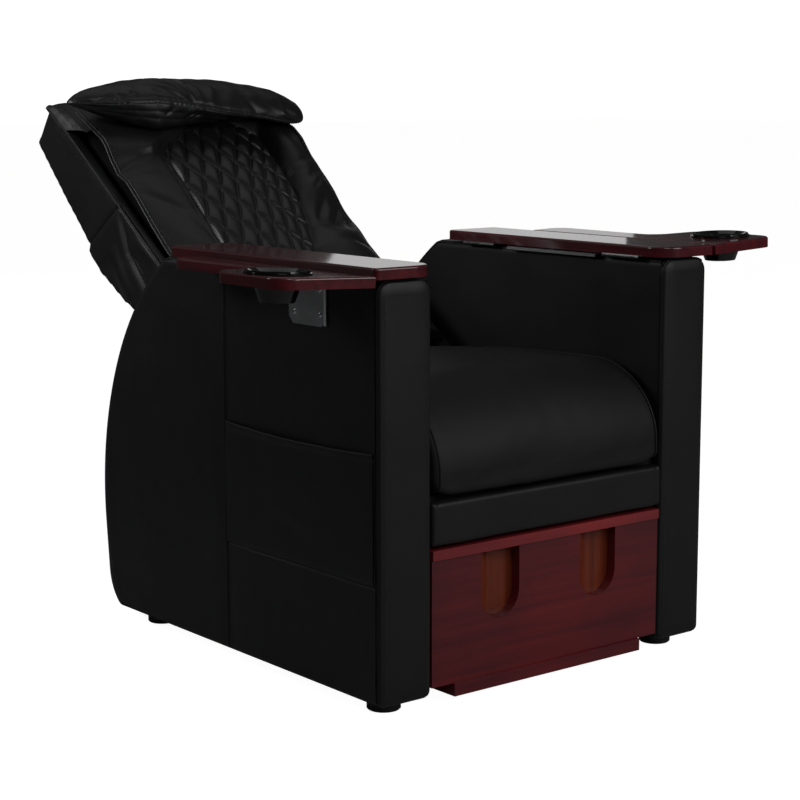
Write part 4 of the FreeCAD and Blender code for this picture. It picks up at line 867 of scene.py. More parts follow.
def make_cushion():
    """The boxed seat cushion's shape: crowned, full at the front, with a groove where the welts run round
    both side panels.
    """
    edges = np.array([0, 3, 7, 12, 20, 32])
    middle = np.linspace(-218, 218, 44)
    grid = []
    for across in np.concatenate([-CUSHION_HALF + edges, middle, (CUSHION_HALF - edges)[::-1]]):
        off = abs(across)
        share = min(off / CUSHION_WELT, 1.0)
        crown = CUSHION_CROWN - CUSHION_DOME * share ** 2.4
        nose = CUSHION_NOSE - NOSE_DOME * (1 - share ** 2)
        inset = END_ROUND * max(0.0, (off - CUSHION_WELT) / (CUSHION_HALF - CUSHION_WELT)) ** 1.6
        groove = 1.6 * math.exp(-(((off - CUSHION_WELT + 5) / 3.0) ** 2))
        rise = CUSHION_END_RISE * max(0.0, (off - RISE_FROM) / (CUSHION_HALF - RISE_FROM)) ** 2
        section = cushion_section(crown, nose, inset + groove, rise)
        grid.append(np.column_stack([np.full(len(section), across), FRONT + section[:, 0], section[:, 1]]))
    return np.array(grid)


# The back, in its own axes: s runs up the back and n stands out of its front

BACK_DEPTH = 575.0
BACK_HEIGHT = 500.0
BACK_SLOPE = math.radians(35.2)
BACK_FOOT = Vector((0, (FRONT + BACK_DEPTH) / MM, BACK_HEIGHT / MM))
BACK_TURN = Matrix.Translation(BACK_FOOT) @ Matrix.Rotation(BACK_SLOPE, 4, "X")
OUT_OF_BACK = np.array([0, -math.sin(BACK_SLOPE), math.cos(BACK_SLOPE)])


def in_back(x, s, n):
    """Points given in the back's own axes, in the construction's frame."""
    x, s, n = np.broadcast_arrays(x, s, n)
    depth = BACK_DEPTH + s * math.cos(BACK_SLOPE) - n * math.sin(BACK_SLOPE)
    height = BACK_HEIGHT + s * math.sin(BACK_SLOPE) + n * math.cos(BACK_SLOPE)
    return np.stack([x, FRONT + depth, height], -1)


def by_places(at, places):
    """Read a table of places and values, in rising order, at some positions."""
    table = np.array(places, float)
    return np.interp(at, table[:, 0], table[:, 1])


NEAR_HEM = -236.0
FAR_HEM = 246.0
# How far along the back, and how high over the boards' front edge, each side's hem runs
NEAR_HEM_LINE = (
    (60, 12), (200, 8), (358, 14), (444, 22), (494, 29), (550, 33), (582, 25), (621, 33), (656, 45),
    (677, 47), (712, 42), (743, 37), (790, 31), (826, 26), (848, 12), (858, -4),
)
FAR_HEM_LINE = (
    (60, 12), (280, 8), (333, 12), (427, 24), (522, 34), (611, 44), (658, 56), (696, 56), (750, 40),
    (826, 26), (848, 12), (858, -4),
)
CROWN_LINE = (
    (40, 46), (590, 50), (640, 54), (690, 52), (745, 44), (790, 38), (826, 30), (848, 14), (858, -4),
)
LINER_TOP = 858.0
NEAR_CALM = 0.35
QUILT_LEFT = ((30, -125), (330, -130), (443, -121), (552, -111), (648, -107), (760, -104))
QUILT_RIGHT = ((30, 95), (313, 88), (387, 125), (557, 169), (709, 182), (760, 186))
QUILT_TOP = ((-140, 622), (-107, 648), (-50, 692), (10, 734), (66, 746), (122, 751), (182, 716), (210, 700))
QUILT_LEVEL = 33.0
QUILT_LOW = 34.0
QUILT_MIDDLE = 400.0
QUILT_HIGH = 760.0
# How much of a height's gap to the panel's slanting top counts as distance from the edge
TOP_SLANT = 0.8
# The pull in the far roll: its middle, its half sizes, its depth, how much it leans, and its folds
HOLLOW_X, HOLLOW_S = 196, 424
HOLLOW_WIDE, HOLLOW_LONG = 62, 72
HOLLOW_DEEP = 19.0
HOLLOW_LEAN = 0.3
HOLLOW_FOLDS = (
    ((172, 372), (236, 452), 7, 5.0), ((150, 396), (226, 500), 6, 3.6), ((196, 356), (244, 420), 5, 3.0),
)
# Soft creases in the rolls beside the quilt and under the pillow
LINER_FOLDS = (
    ((-226, 520), (-150, 440), 10, 2.6), ((-150, 445), (-132, 360), 9, 1.6),
    ((-205, 340), (-140, 300), 12, 1.2), ((238, 560), (188, 520), 7, 3.0), ((240, 600), (190, 575), 6, 2.6),
    ((236, 540), (190, 490), 5, 2.4), ((236, 300), (150, 330), 10, 2.6), ((150, 760), (240, 700), 10, 3.0),
)
LIP_WIDE = 5.0


def liner_height(x, s):
    """How far the leather over the back's pad stands out, from hem to hem."""
    near = by_places(s, NEAR_HEM_LINE)
    far = by_places(s, FAR_HEM_LINE)
    crown = by_places(s, CROWN_LINE)
    left = by_places(s, QUILT_LEFT)
    right = by_places(s, QUILT_RIGHT)
    top = by_places(x, QUILT_TOP)
    near_share = np.clip((x - NEAR_HEM) / (left - NEAR_HEM), 0, 1)
    far_share = np.clip((FAR_HEM - x) / (FAR_HEM - right), 0, 1)
    ground = panel_level(x)
    near_base = near + (QUILT_LEVEL - near) * near_share
    far_base = far + (panel_level(right) - far) * far_share
    near_roll = near_base + (crown - near_base) * np.sin(near_share * math.pi) ** 0.7 * NEAR_CALM
    far_roll = far_base + (crown - far_base) * np.sin(far_share * math.pi) ** 0.7
    middle = (x > left) & (x < right)
    lower = np.where(x <= left, near_roll, np.where(middle, ground - 2, far_roll))
    across = (x - NEAR_HEM) / (FAR_HEM - NEAR_HEM)
    edge = near + (far - near) * across
    upper = edge + (crown + 2 - edge) * (1 - np.abs(2 * across - 1) ** 3.0)
    over = ease((s - top + 2) / 26)
    height = lower + (upper - lower) * over
    edge_gap = np.minimum(x - NEAR_HEM, FAR_HEM - x)
    inside = ease(edge_gap / 30)
    height = height + 1.2 * waves(x, s, 150.0, 3) * inside
    height = height + 0.25 * waves(x, s, 42.0, 4) * inside
    lip = np.exp(-(((x - (left - 8)) / LIP_WIDE) ** 2))
    return height - lip * (s < top)


def dark_hollow(x, s):
    """The pull in the far roll half way up, where the leather is drawn in deep."""
    across = (x - HOLLOW_X) / HOLLOW_WIDE
    along = (s - HOLLOW_S - HOLLOW_LEAN * (x - HOLLOW_X)) / HOLLOW_LONG
    gap = np.sqrt(across ** 2 + along ** 2)
    hollow = -HOLLOW_DEEP * ease(1.25 - gap)
    return hollow + add_creases(0.0, x, s, HOLLOW_FOLDS) * ease(1.6 - gap)


FLAP_START = 716.0
FLAP_FULL = 802.0
# The flap's places outwards over a side board: how far from the middle, the share of the hem's height
# that it keeps there, and the height added over the board's edge
FLAP_PLACES = (
    (214, 1.0, 2.0), (236, 1.0, 1.5), (252, 0.72, 2.0), (262, 0.34, 2.5), (267, 0.1, -2.0),
    (268.6, 0.0, -8.0),
)


def corner_flap(side):
    """The liner's upper corner, which is drawn out over the side board's end."""
    hem = NEAR_HEM_LINE if side == -1 else FAR_HEM_LINE
    inner = (-NEAR_HEM if side == -1 else FAR_HEM) - 22
    number = np.arange(len(FLAP_PLACES))
    rows = []
    for place in np.linspace(FLAP_START, LINER_TOP + 1, 40):
        reach = 2 + 3 * ease((place - FLAP_START) / (FLAP_FULL - FLAP_START))
        steps = np.linspace(0, reach, 22)
        across, share, added = (np.interp(steps, number, column) for column in zip(*FLAP_PLACES))
        across = np.maximum(across, inner)
        rise = by_places(place, hem) * share + added
        rise = rise + 0.7 * waves(across, np.full_like(across, place), 34.0, 91) * ease(steps / 2)
        rows.append(in_back(side * across, place, rise))
    return np.array(rows)


LINER_BASE = -52.0
# The seam across the roll beside the quilt, on the sitter's right
ROLL_SEAM = ((-236, 589), (-107, 648))
NEAR_ROLL_END = -104.0
SEAM_SOFT = 2.6


def rolled_edge(hem, inwards, height):
    """One edge of the liner's section, from its base over the rolled lip to the hem."""
    steps = [(12, LINER_BASE), (12, min(height - 16, -8)), (8, height - 10), (1, height - 7.5)]
    steps += [(-1.6, height - 4), (-1.2, height - 1)]
    return [(hem + inwards * step, rise) for step, rise in steps]


def make_liner():
    """The leather over the pad, from hem to hem, with its rolled lips over the side boards."""
    stations = np.linspace(30, LINER_TOP, 210)
    across = np.linspace(NEAR_HEM, FAR_HEM, 150)
    x, s = np.meshgrid(across, stations)
    face = liner_height(x, s) + add_creases(0.0, x, s, LINER_FOLDS) + dark_hollow(x, s)
    seam = np.minimum(np.abs(s - by_places(x, ROLL_SEAM)), 40)
    near_roll = x < NEAR_ROLL_END
    face = face - 2.6 * np.exp(-((seam / SEAM_SOFT) ** 2)) * near_roll + 1.2 * ease(1 - seam / 30) * near_roll
    rows = []
    for place, heights in zip(stations, face):
        near_edge = rolled_edge(NEAR_HEM, 1, heights[0])
        far_edge = rolled_edge(FAR_HEM, -1, heights[-1])
        line = np.array([*near_edge, *zip(across, heights), *far_edge[::-1]])
        rows.append(in_back(line[:, 0], place, line[:, 1]))
    shell = Shell()
    shell.grid(np.array(rows), closed=True, flip=True, caps=True)
    for edge, way, column_x in ((0, -1, NEAR_HEM), (-1, 1, FAR_HEM)):
        for out, up, radius in ((3.0, -2.4, 2.8), (-2.2, 1.0, 1.9)):
            path = in_back(column_x + way * out, stations, face[:, edge] + up)
            shell.tube(resample(path[8:-12], 6.0), radius)
    shell.grid(corner_flap(-1), flip=True)
    shell.grid(corner_flap(1))
    item = shell.piece("back_liner", SOFT_LEATHER, "back")
    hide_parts("back_pad")
    thread = Shell()
    spots = np.arange(3, len(stations) - 6)
    for gap in (3.5, 9.0):
        for column_x in (NEAR_HEM + gap, FAR_HEM - gap):
            heights = [np.interp(column_x, across, face[row]) for row in spots]
            thread.stitches(in_back(column_x, stations[spots], np.array(heights)), OUT_OF_BACK)
    thread.piece("back_liner_thread", THREAD, "back")


# The quilted centre panel

WAY_A = np.array([0.907, -0.421])
WAY_B = np.array([0.897, 0.442])
STEP_A = 36.3
STEP_B = 58.9
START_A = -318.5
START_B = 373.0
# The pad falls away past its middle on the sitter's left, and the channels crowd together there
FALL_FROM = 20.0
FALL_WIDE = 130.0
FALL = 14.0
CROWD_A = 0.0016
CROWD_B = -0.0010
SPREAD_A = -0.0015
SPREAD_B = 0.0010
SPREAD_MIDDLE = 500.0
STRIP_HALF = 3.4
PUFF = 8.0
# How much of a cell's height comes from its flat top, and how much from its dome
CELL_SHARE, DOME_SHARE = 0.72, 0.28
CHANNEL = 3.0
STRIP_RISE = 1.7
QUILT_LIFT = 0.6
BORDER_SINK = 1.6


def panel_level(x):
    """The height of the panel's ground, which curves down towards the sitter's left."""
    return QUILT_LEVEL - FALL * np.clip((x - FALL_FROM) / FALL_WIDE, 0, None) ** 2


def quilt_places(x, s):
    """Distances across both families of channels, counted in channels."""
    past = np.clip(x - FALL_FROM, 0, None)
    up = s - SPREAD_MIDDLE
    a = (x * WAY_A[0] + s * WAY_A[1] - START_A + CROWD_A * past ** 2 + SPREAD_A * past * up) / STEP_A
    b = (x * WAY_B[0] + s * WAY_B[1] - START_B + CROWD_B * past ** 2 + SPREAD_B * past * up) / STEP_B
    return a, b


def quilt_height(x, s, edge_gap):
    """Soft flat cells between single channels one way and narrow flat strips the other way."""
    a, b = quilt_places(x, s)
    to_a = np.abs(a - np.round(a)) * STEP_A
    to_b = np.abs(b - np.round(b)) * STEP_B
    off_strip = np.clip(to_b - STRIP_HALF, 0, None)
    cell = (1 - np.exp(-to_a / CHANNEL)) * (1 - np.exp(-off_strip / CHANNEL))
    dome_a = np.sin(np.clip(to_a / STEP_A * 2, 0, 1) * math.pi / 2)
    dome = dome_a * np.sin(np.clip(off_strip / (STEP_B / 2 - STRIP_HALF), 0, 1) * math.pi / 2)
    strip = np.clip(1 - (to_b / STRIP_HALF) ** 2, 0, 1) ** 0.5 * (1 - np.exp(-to_a / 2.0))
    uneven = 1 + 0.10 * waves(x, s, 90.0, 8)
    pulls = 0.30 * waves(x, s, 16.0, 9) * (1 - cell)
    border = ease(edge_gap / 7)
    rise = (PUFF * (CELL_SHARE * cell + DOME_SHARE * dome) * uneven + STRIP_RISE * strip + pulls) * border
    return panel_level(x) + QUILT_LIFT + rise - BORDER_SINK * (1 - border)


def quilt_point(u, v):
    """Where a share across and a share up the panel lies, in the back's axes."""
    start = np.full_like(u, QUILT_MIDDLE)
    x = by_places(start, QUILT_LEFT)
    x = x + u * (by_places(start, QUILT_RIGHT) - x)
    for _ in range(12):
        s = QUILT_LOW + v * (by_places(x, QUILT_TOP) - QUILT_LOW)
        left = by_places(s, QUILT_LEFT)
        right = by_places(s, QUILT_RIGHT)
        x = x + 0.6 * (left + u * (right - left) - x)
    return x, s


def quilt_border():
    """The panel's outline as points in the back's axes, from low left, up, across and down."""
    up = np.linspace(0, 1, 160)
    over = np.linspace(0, 1, 90)
    lines = [
        quilt_point(np.zeros_like(up), up),
        quilt_point(over, np.ones_like(over)),
        quilt_point(np.ones_like(up), up[::-1]),
    ]
    return np.column_stack([np.concatenate([line[k] for line in lines]) for k in (0, 1)])


SHORTEST_RUN = 8


def clipped_runs(points, inside):
    """The unbroken stretches of a line that lie inside, without the shortest ones."""
    runs, run = [], []
    for point, good in zip(points, inside):
        if good:
            run.append(point)
        elif run:
            runs.append(run)
            run = []
    if run:
        runs.append(run)
    return [np.array(run) for run in runs if len(run) > SHORTEST_RUN]


def quilt_edge(x, s):
    """How far points lie inside the panel's edge, and the height of the quilt there."""
    gap = np.minimum(x - by_places(s, QUILT_LEFT), by_places(s, QUILT_RIGHT) - x)
    edge = np.minimum(gap, (by_places(x, QUILT_TOP) - s) * TOP_SLANT)
    return edge, quilt_height(x, s, edge)


def channel_line(family, number, offset):
    """Points along one channel: a straight start, then bent until it fits the uneven spacing."""
    turn = np.array([WAY_A, WAY_B])
    steps = [[STEP_A], [STEP_B]]
    marks = np.arange(-40.0, 40.0, 0.05)
    goal = np.zeros((2, len(marks)))
    goal[family] = number + offset / STEP_B
    goal[1 - family] = marks
    spots = np.linalg.solve(turn, goal * steps + [[START_A], [START_B]])
    for _ in range(8):
        here = np.stack(quilt_places(spots[0], spots[1]))
        spots = spots + np.linalg.solve(turn, (goal - here) * steps)
    return spots


def rim(sheet):
    """The points round the edge of a grid: up its first column, across, down and back."""
    return np.concatenate([sheet[:, 0], sheet[-1, 1:-1], sheet[::-1, -1], sheet[0, -2:0:-1]])


def make_quilt():
    """The quilted panel, the stitches along its channels and two rows of stitches inside its edge."""
    u, v = np.meshgrid(np.linspace(0, 1, 200), np.linspace(0, 1, 500))
    x, s = quilt_point(u, v)
    width = by_places(s, QUILT_RIGHT) - by_places(s, QUILT_LEFT)
    gap = np.minimum(u, 1 - u) * width
    gap = np.minimum(gap, (1 - v) * (by_places(x, QUILT_TOP) - QUILT_LOW) * TOP_SLANT)
    shell = Shell()
    face = in_back(x, s, quilt_height(x, s, gap))
    low = in_back(x, s, panel_level(x) - 6)
    shell.grid(face, flip=True)
    shell.grid(low)
    shell.grid(np.array([rim(low), rim(face)]), closed=True, flip=True)
    item = shell.piece("quilt", QUILT_LEATHER, "back")
    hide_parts("quilted_panel")

    thread = Shell()
    for family, offsets in ((0, (0.0,)), (1, (-STRIP_HALF, STRIP_HALF))):
        for number in range(-24, 25):
            for offset in offsets:
                spots = channel_line(family, number, offset)
                edge, heights = quilt_edge(spots[0], spots[1])
                good = (edge > 5.0) & (spots[1] > QUILT_LOW + 6) & (spots[1] < QUILT_HIGH)
                for run in clipped_runs(np.column_stack([spots.T, heights]), good):
                    path = in_back(run[:, 0], run[:, 1], run[:, 2])
                    thread.stitches(path, OUT_OF_BACK, pitch=5.6, long=3.9, radius=0.45, lift=0.1)
    border = quilt_border()
    inwards = unit(border.mean(0)[None] - border)
    for gap in (2.5, 8.0):
        x, s = (border + inwards * gap).T
        path = in_back(x, s, quilt_edge(x, s)[1] + 0.4)
        thread.stitches(path, OUT_OF_BACK, pitch=6.0)
    thread.piece("quilt_thread", THREAD, "back")


# The head pillow

PILLOW_ROWS = 300
PILLOW_COLUMNS = 200
PILLOW_STITCHES = (-11.0, -3.6, 3.2)
# Position across, half the height seen from the front, height of the middle over the floor, how far it
# stands out of the back, and the turn at which the front seam runs
PILLOW_PLACES = (
    (-276, 3, 1000, 64, 140), (-272, 7, 1001, 67, 140), (-264, 12, 1002, 70, 140), (-245, 21, 1003, 74, 139),
    (-204, 34, 1002, 78, 136), (-160, 46, 998, 79, 127), (-112, 54, 994.5, 79, 122), (-50, 53, 997, 79, 132),
    (11, 50, 1000, 79, 146), (88, 46, 1001, 79, 163), (130, 43.5, 1000, 78, 172), (170, 41, 997, 76, 181),
    (215, 37, 990, 73, 190), (247, 31, 984, 69, 195), (270, 25, 979, 65, 196), (281, 19, 976, 62, 196),
    (286, 13, 975, 61, 196), (288, 6, 975, 61, 196),
)
PILLOW_FULL = 46.3
PILLOW_ALONG = 62.0
PILLOW_THICK = 36.0
PILLOW_ROUND = 52.0
# How full the pillow is at turns counted from its seam, which stands out as a ridge
PILLOW_SECTION = (
    (-180, 1.0), (-120, 1.0), (-60, 1.02), (-28, 1.05), (-10, 1.06), (0, 1.07), (7, 1.0), (22, 0.87),
    (45, 0.82), (75, 0.90), (110, 0.98), (180, 1.0),
)
# The pillow's folds, each from a place across and a length from the seam to another
PILLOW_FOLDS = (
    ((-15, -6), (-99, -74), 5, 4.6), ((-12, -6), (-62, -74), 4.5, 4.2), ((-24, -8), (-128, -50), 5, 4.0),
    ((-9, -8), (-16, -56), 5, 3.4), ((-34, -10), (-112, -30), 4, 2.6), ((22, -12), (46, -66), 9, -3.2),
    ((-8, 5), (-42, 36), 4.5, 3.8), ((6, 5), (-24, 40), 4.5, 3.8), ((-70, 4), (-96, 30), 5, 2.4),
    ((60, 6), (86, 34), 5, 3.0), ((120, 5), (150, 30), 6, 2.2), ((150, -6), (118, -56), 9, 2.4),
    ((276, -6), (206, -22), 6, 3.0), ((270, -14), (216, -44), 7, 2.4), ((-262, -6), (-196, -24), 6, 2.4),
    ((-150, -12), (-166, -24), 4, 2.6), ((-176, -10), (-190, -26), 4, 2.2), ((-204, -8), (-198, -28), 4, 2.0),
)


def pillow_grid(rows, columns):
    """The pillow's rings of points in the back's axes, and how far round from the seam each lies."""
    places = np.array(PILLOW_PLACES, float)
    first, last = places[0, 0], places[-1, 0]
    share = np.linspace(0, 1, rows)
    share = 0.5 * (0.5 - 0.5 * np.cos(share * math.pi)) + 0.5 * share
    across = first + (last - first) * share
    half, middle, out, seam = (np.interp(across, places[:, 0], places[:, k]) for k in (1, 2, 3, 4))
    turn = np.linspace(0, 2 * math.pi, columns, endpoint=False)
    x, t = np.meshgrid(across, turn, indexing="ij")
    away = np.degrees(t) - seam[:, None]
    away = (away + 180) % 360 - 180
    section = np.array(PILLOW_SECTION)
    full = np.interp(away, section[:, 0], section[:, 1])
    smooth = sum(np.roll(full, k, 1) for k in (-1, 0, 1)) / 3
    full = np.where(np.abs(away) < 6, full, smooth)
    scale = (half / PILLOW_FULL)[:, None] * full
    s_middle = ((middle - BACK_HEIGHT - out * math.cos(BACK_SLOPE)) / math.sin(BACK_SLOPE))[:, None]
    s = s_middle + PILLOW_ALONG * scale * np.cos(t)
    n = out[:, None] + PILLOW_THICK * scale * np.sin(t)
    return x, s, n, np.radians(away) * PILLOW_ROUND


def pillow_wrinkles(x, arc):
    """Pull lines of the pillow's cover: about the seam, the gather and the ends."""
    total = -2.4 * np.exp(-((arc / 1.8) ** 2)) - 1.5 * np.exp(-(((arc + 11) / 2.0) ** 2))
    pucker = np.exp(-(((arc + 6) / 9) ** 2)) * (0.4 + 0.6 * ease((40 - x) / 120))
    total = total + pucker * waves(x, 0 * x, 14.0, 51)
    total = total + 1.5 * waves(x, arc * 0.5, 110.0, 52) + 0.5 * waves(x, arc, 38.0, 53)
    total = add_creases(total, x, arc, PILLOW_FOLDS)
    dip = np.exp(-(((x - 100) / 70) ** 2)) * np.exp(-(((arc + 46) / 34) ** 2))
    return total - 4.5 * dip


def make_pillow():
    """The head pillow with its wrinkles and three rows of stitches."""
    x, s, n, arc = pillow_grid(PILLOW_ROWS, PILLOW_COLUMNS)
    grid = in_back(x, s, n)
    normal = outward_normals(grid)
    reach = np.minimum(x - x.min(), x.max() - x)
    ends = ease((reach - 2) / 22)
    grid = grid + normal * (pillow_wrinkles(x, arc) * ends)[..., None]
    shell = Shell()
    shell.grid(grid, closed=True, flip=True, caps=True)
    item = shell.piece("pillow", SOFT_LEATHER, "back")
    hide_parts("head_pillow")
    thread = Shell()
    rows = np.arange(12, len(grid) - 12)
    for shift in PILLOW_STITCHES:
        columns = np.argmin(np.abs(arc[rows] - shift), axis=1)
        thread.stitches(grid[rows, columns], normal[rows, columns], pitch=6.0, lift=0.15)
    thread.piece("pillow_thread", THREAD, "back")


# The seat and its rail

RAIL_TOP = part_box("seat_front_rail")[1].z * MM
RAIL_RISE = 3.5
RAIL_SEAM = 256.0
RAIL_FADE = 40.0
CUSHION_ROUND = 1200.0


def make_seat():
    """The cushion with its two welts."""
    grid = finer(make_cushion())
    shell = Shell()
    x = grid[..., 0]
    normal = outward_normals(grid)
    travelled = np.linspace(0, CUSHION_ROUND, grid.shape[1])[None, :] + 0 * x
    swell = 0.9 * waves(x, travelled, 190.0, 61) + 0.3 * waves(x, travelled, 60.0, 62)
    fade = ease((CUSHION_HALF - np.abs(x)) / 24)
    grid = grid + normal * (swell * fade)[..., None]
    shell.grid(grid, closed=True, caps=True)
    for side in (-1, 1):
        row = int(np.argmin(np.abs(grid[:, 0, 0] - side * CUSHION_WELT)))
        shell.tube(resample(grid[row] + normal[row] * 0.6, 5.0, closed=True), 2.3, closed=True)
    item = shell.piece("cushion", SEAT_LEATHER, "base")
    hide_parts("seat_cushion")


def make_rail():
    """The leather over the rail in front of the cushion, whose top is raised to meet it."""

    def rail_swell(points):
        off = np.abs(points[:, 0])
        inside = ease((RAIL_SEAM - off) / 10)
        seam = np.exp(-(((off - RAIL_SEAM) / 2.5) ** 2))
        return 0.9 + 0.8 * inside * waves(points[:, 0], points[:, 2], 140.0, 71) - 1.8 * seam

    rail = softened("seat_front_rail", "seat_rail", LEATHER, 3.2, 5, rail_swell)
    for vertex in rail.data.vertices:
        share = float(ease((vertex.co.z * MM - RAIL_TOP + RAIL_FADE) / RAIL_FADE))
        vertex.co.z += RAIL_RISE / MM * share


# The finger slots and the brackets' edges

SLOT_X = 115.0
SLOT_HALF = 43.5
SLOT_CENTRE = 177.5
SLOT_TOP = 253.4
SLOT_FACE = 5.6
SLOT_BACK = 24.0
GRIP_INSET = 29.0
BRACKET_TAB = 12.0
# The turned edge's section: how far off the wall, and how far behind the bracket's front
BRACKET_LIP = ((0.0, 0.0), (1.2, -3.0), (4.5, -4.4), (6.5, -3.6), (6.5, -0.4))


def make_slots():
    """The slanting left wall of each finger slot, between the board's face and the grip block."""
    shell = Shell()
    turns = np.linspace(math.pi, math.pi + math.acos(1 - GRIP_INSET / SLOT_HALF), 16)
    for side in (-1, 1):
        centre = side * SLOT_X
        front = [(centre - SLOT_HALF, z) for z in np.linspace(SLOT_TOP, SLOT_CENTRE, 12)]
        for turn in turns[1:]:
            front.append((centre + SLOT_HALF * math.cos(turn), SLOT_CENTRE + SLOT_HALF * math.sin(turn)))
        grid = []
        for x, z in front:
            line = []
            for share in np.linspace(0, 1, 5):
                inner = x + share * (centre - SLOT_HALF + GRIP_INSET - x)
                bow = 2.0 * math.sin(share * math.pi)
                line.append((inner, FRONT + SLOT_FACE + share * (SLOT_BACK - SLOT_FACE) + bow, z))
            grid.append(line)
        shell.grid(np.array(grid), flip=True)
    shell.piece("slot_walls", SLOT_WOOD, "drawer")


def make_bracket_edges():
    """The turned front edge of each tray bracket, in a lighter copy of chrome that paints its highlight."""
    for word, side in SIDES:
        low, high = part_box("tray_bracket_" + word)
        shell = Shell()
        wall = ARM_OUT + 1.0
        top = high.z * MM - BRACKET_TAB
        grid = []
        for z in np.linspace(low.z * MM + 3, top, 8):
            grid.append([(side * (wall + out), low.y * MM + back, z) for out, back in BRACKET_LIP])
        shell.grid(np.array(grid), flip=side == -1)
        shell.piece("bracket_edge_" + word, PAINTED_HIGHLIGHT_CHROME, "base")


# The back put together

GUSSET_FOLDS = (
    ((500, -8), (426, -61), 7, 4.5), ((440, -52), (330, -72), 8, 4.0), ((360, -64), (240, -118), 12, 3.0),
    ((486, -83), (376, -125), 16, -5.0), ((430, -18), (339, -8), 14, -3.5),
    ((480, -110), (330, -150), 10, 3.2), ((300, -30), (180, -60), 14, 2.4),
)
BOARD_WELT = 263.5
BOARD_THREAD = 266.2


def make_back():
    """The boards, gussets, covers and welts, then the liner, the quilt and the pillow over them."""

    def board_swell(points):
        s, n = points[:, 1], points[:, 2]
        return 0.9 + 0.5 * waves(s, n, 150.0, 81) + 0.12 * waves(s, n, 40.0, 82)

    def gusset_swell(points):
        s, n = points[:, 1], points[:, 2]
        return 0.8 + add_creases(0.0, s, n, GUSSET_FOLDS) + 0.9 * waves(s, n, 130.0, 83)

    def plain_swell(points):
        return 0.8 + waves(points[:, 0], points[:, 1], 120.0, 84)

    for word, side in SIDES:
        softened("back_side_" + word, "back_board_" + word, LEATHER, 4.0, 6, board_swell, BACK_TURN)
        gusset = softened("side_gusset_" + word, "gusset_" + word, LEATHER, 4.0, 8, gusset_swell, BACK_TURN)
        welt = Shell()
        welt.tube(in_back(side * BOARD_WELT, np.linspace(10, 838, 120), -1.5), 2.4)
        welt.piece("board_welt_" + word, LEATHER, "back")
        thread = Shell()
        for n in (-9.0, -15.0):
            thread.stitches(in_back(side * BOARD_THREAD, np.linspace(14, 834, 130), n), (side, 0, 0))
        thread.piece("board_thread_" + word, THREAD, "back")
    softened("back_rear_cover", "rear_cover", LEATHER, 4.5, 6, plain_swell, BACK_TURN)
    softened("back_top_rail", "top_rail", LEATHER, 4.0, 6, plain_swell, BACK_TURN)
    make_liner()
    make_quilt()
    make_pillow()


# Hard parts

# Starts of the nodes' names, the first that fits counts, with the material and the worn edge's width
HARD_PARTS = (
    ("drawer_front", WOOD_WIDE, 1.2),
    # The top board takes the lighter mahogany, a painted highlight of its lit front edge.
    ("drawer_top", LIT_EDGE_WOOD, 1.0),
    ("drawer_back", WOOD_WIDE, 0.6),
    ("drawer_plinth", WOOD_WIDE, 0.8),
    ("drawer_side_", WOOD_LONG, 0.6),
    ("drawer_grip_blocks", SLOT_WOOD, 0.8),
    ("lap_board_", WOOD_LONG, 1.4),
    ("side_tray_", WOOD_LONG, 1.4),
    ("lap_stop_", STEEL, 0.4),
    ("lap_hinge", CHROME, 0.25),
    ("tray_bracket_", HAMMERED, 0.4),
    ("tray_leaf_", CHROME, 0.3),
    ("bracket_screws", CHROME, 0.2),
    ("cup_", GLOSS, 0.4),
    ("floor_glides", MATTE, 0.8),
    ("rear_shroud", LINING, 0.0),
    ("drawer_runner", STEEL, 0.3),
    ("recline_pivots", STEEL, 0.3),
    ("strut_rod", CHROME, 0.3),
    ("strut_", STEEL, 0.3),
    ("arm_frame_", PLYWOOD, 0.0),
    ("seat_deck", LINING, 0.0),
    ("back_support_panel", PLYWOOD, 0.0),
    ("back_lower_rail", PLYWOOD, 0.0),
    ("rear_stretcher", PLYWOOD, 0.5),
)
EDGE_STEPS = 2
EDGE_ANGLE = math.radians(40)


def finish_hard_parts():
    """Materials and a small worn edge on the parts that stay as constructed."""
    for name, item in nodes.items():
        for start, material, edge in HARD_PARTS:
            if name.startswith(start):
                item.data.materials.clear()
                item.data.materials.append(material)
                if edge:
                    worn = item.modifiers.new("edge", "BEVEL")
                    worn.width = edge / MM
                    worn.segments = EDGE_STEPS
                    worn.limit_method = "ANGLE"
                    worn.angle_limit = EDGE_ANGLE
                break


# Floor, surround, lamps and camera

FLOOR_REACH = 60.0
FLOOR_GREY = 0.5
FLOOR_ROUGH = 0.9
FLOOR_GLOW = 0.97
SKY_GLOW = 1.1
SURROUND = 0.035
WHITE = (1, 1, 1, 1)
# Each lamp's place, aim, width, height, watts and how wide its light spreads in degrees
LAMPS = (
    ("key", (1.3, -3.8, 2.3), (0, 0, 0.5), 2.4, 2.0, 47, 180),
    ("front_left", (-1.0, -2.6, 2.8), (0.1, -0.1, 0.6), 1.2, 1.2, 13, 180),
    ("overhead", (0.4, 0.9, 3.2), (0, 0.1, 0.5), 2.6, 2.0, 5, 180),
    ("backdrop", (4.4, 5.2, 2.0), (0, 0, 0.7), 2.4, 2.0, 9, 180),
    ("back_side", (-1.7, 0.9, 1.7), (-0.27, 0.45, 0.8), 0.7, 0.7, 2.2, 70),
)


def white_to_camera(tree):
    """An output that is one for rays from the camera and nothing for all others."""
    return tree.nodes.new("ShaderNodeLightPath").outputs["Is Camera Ray"]


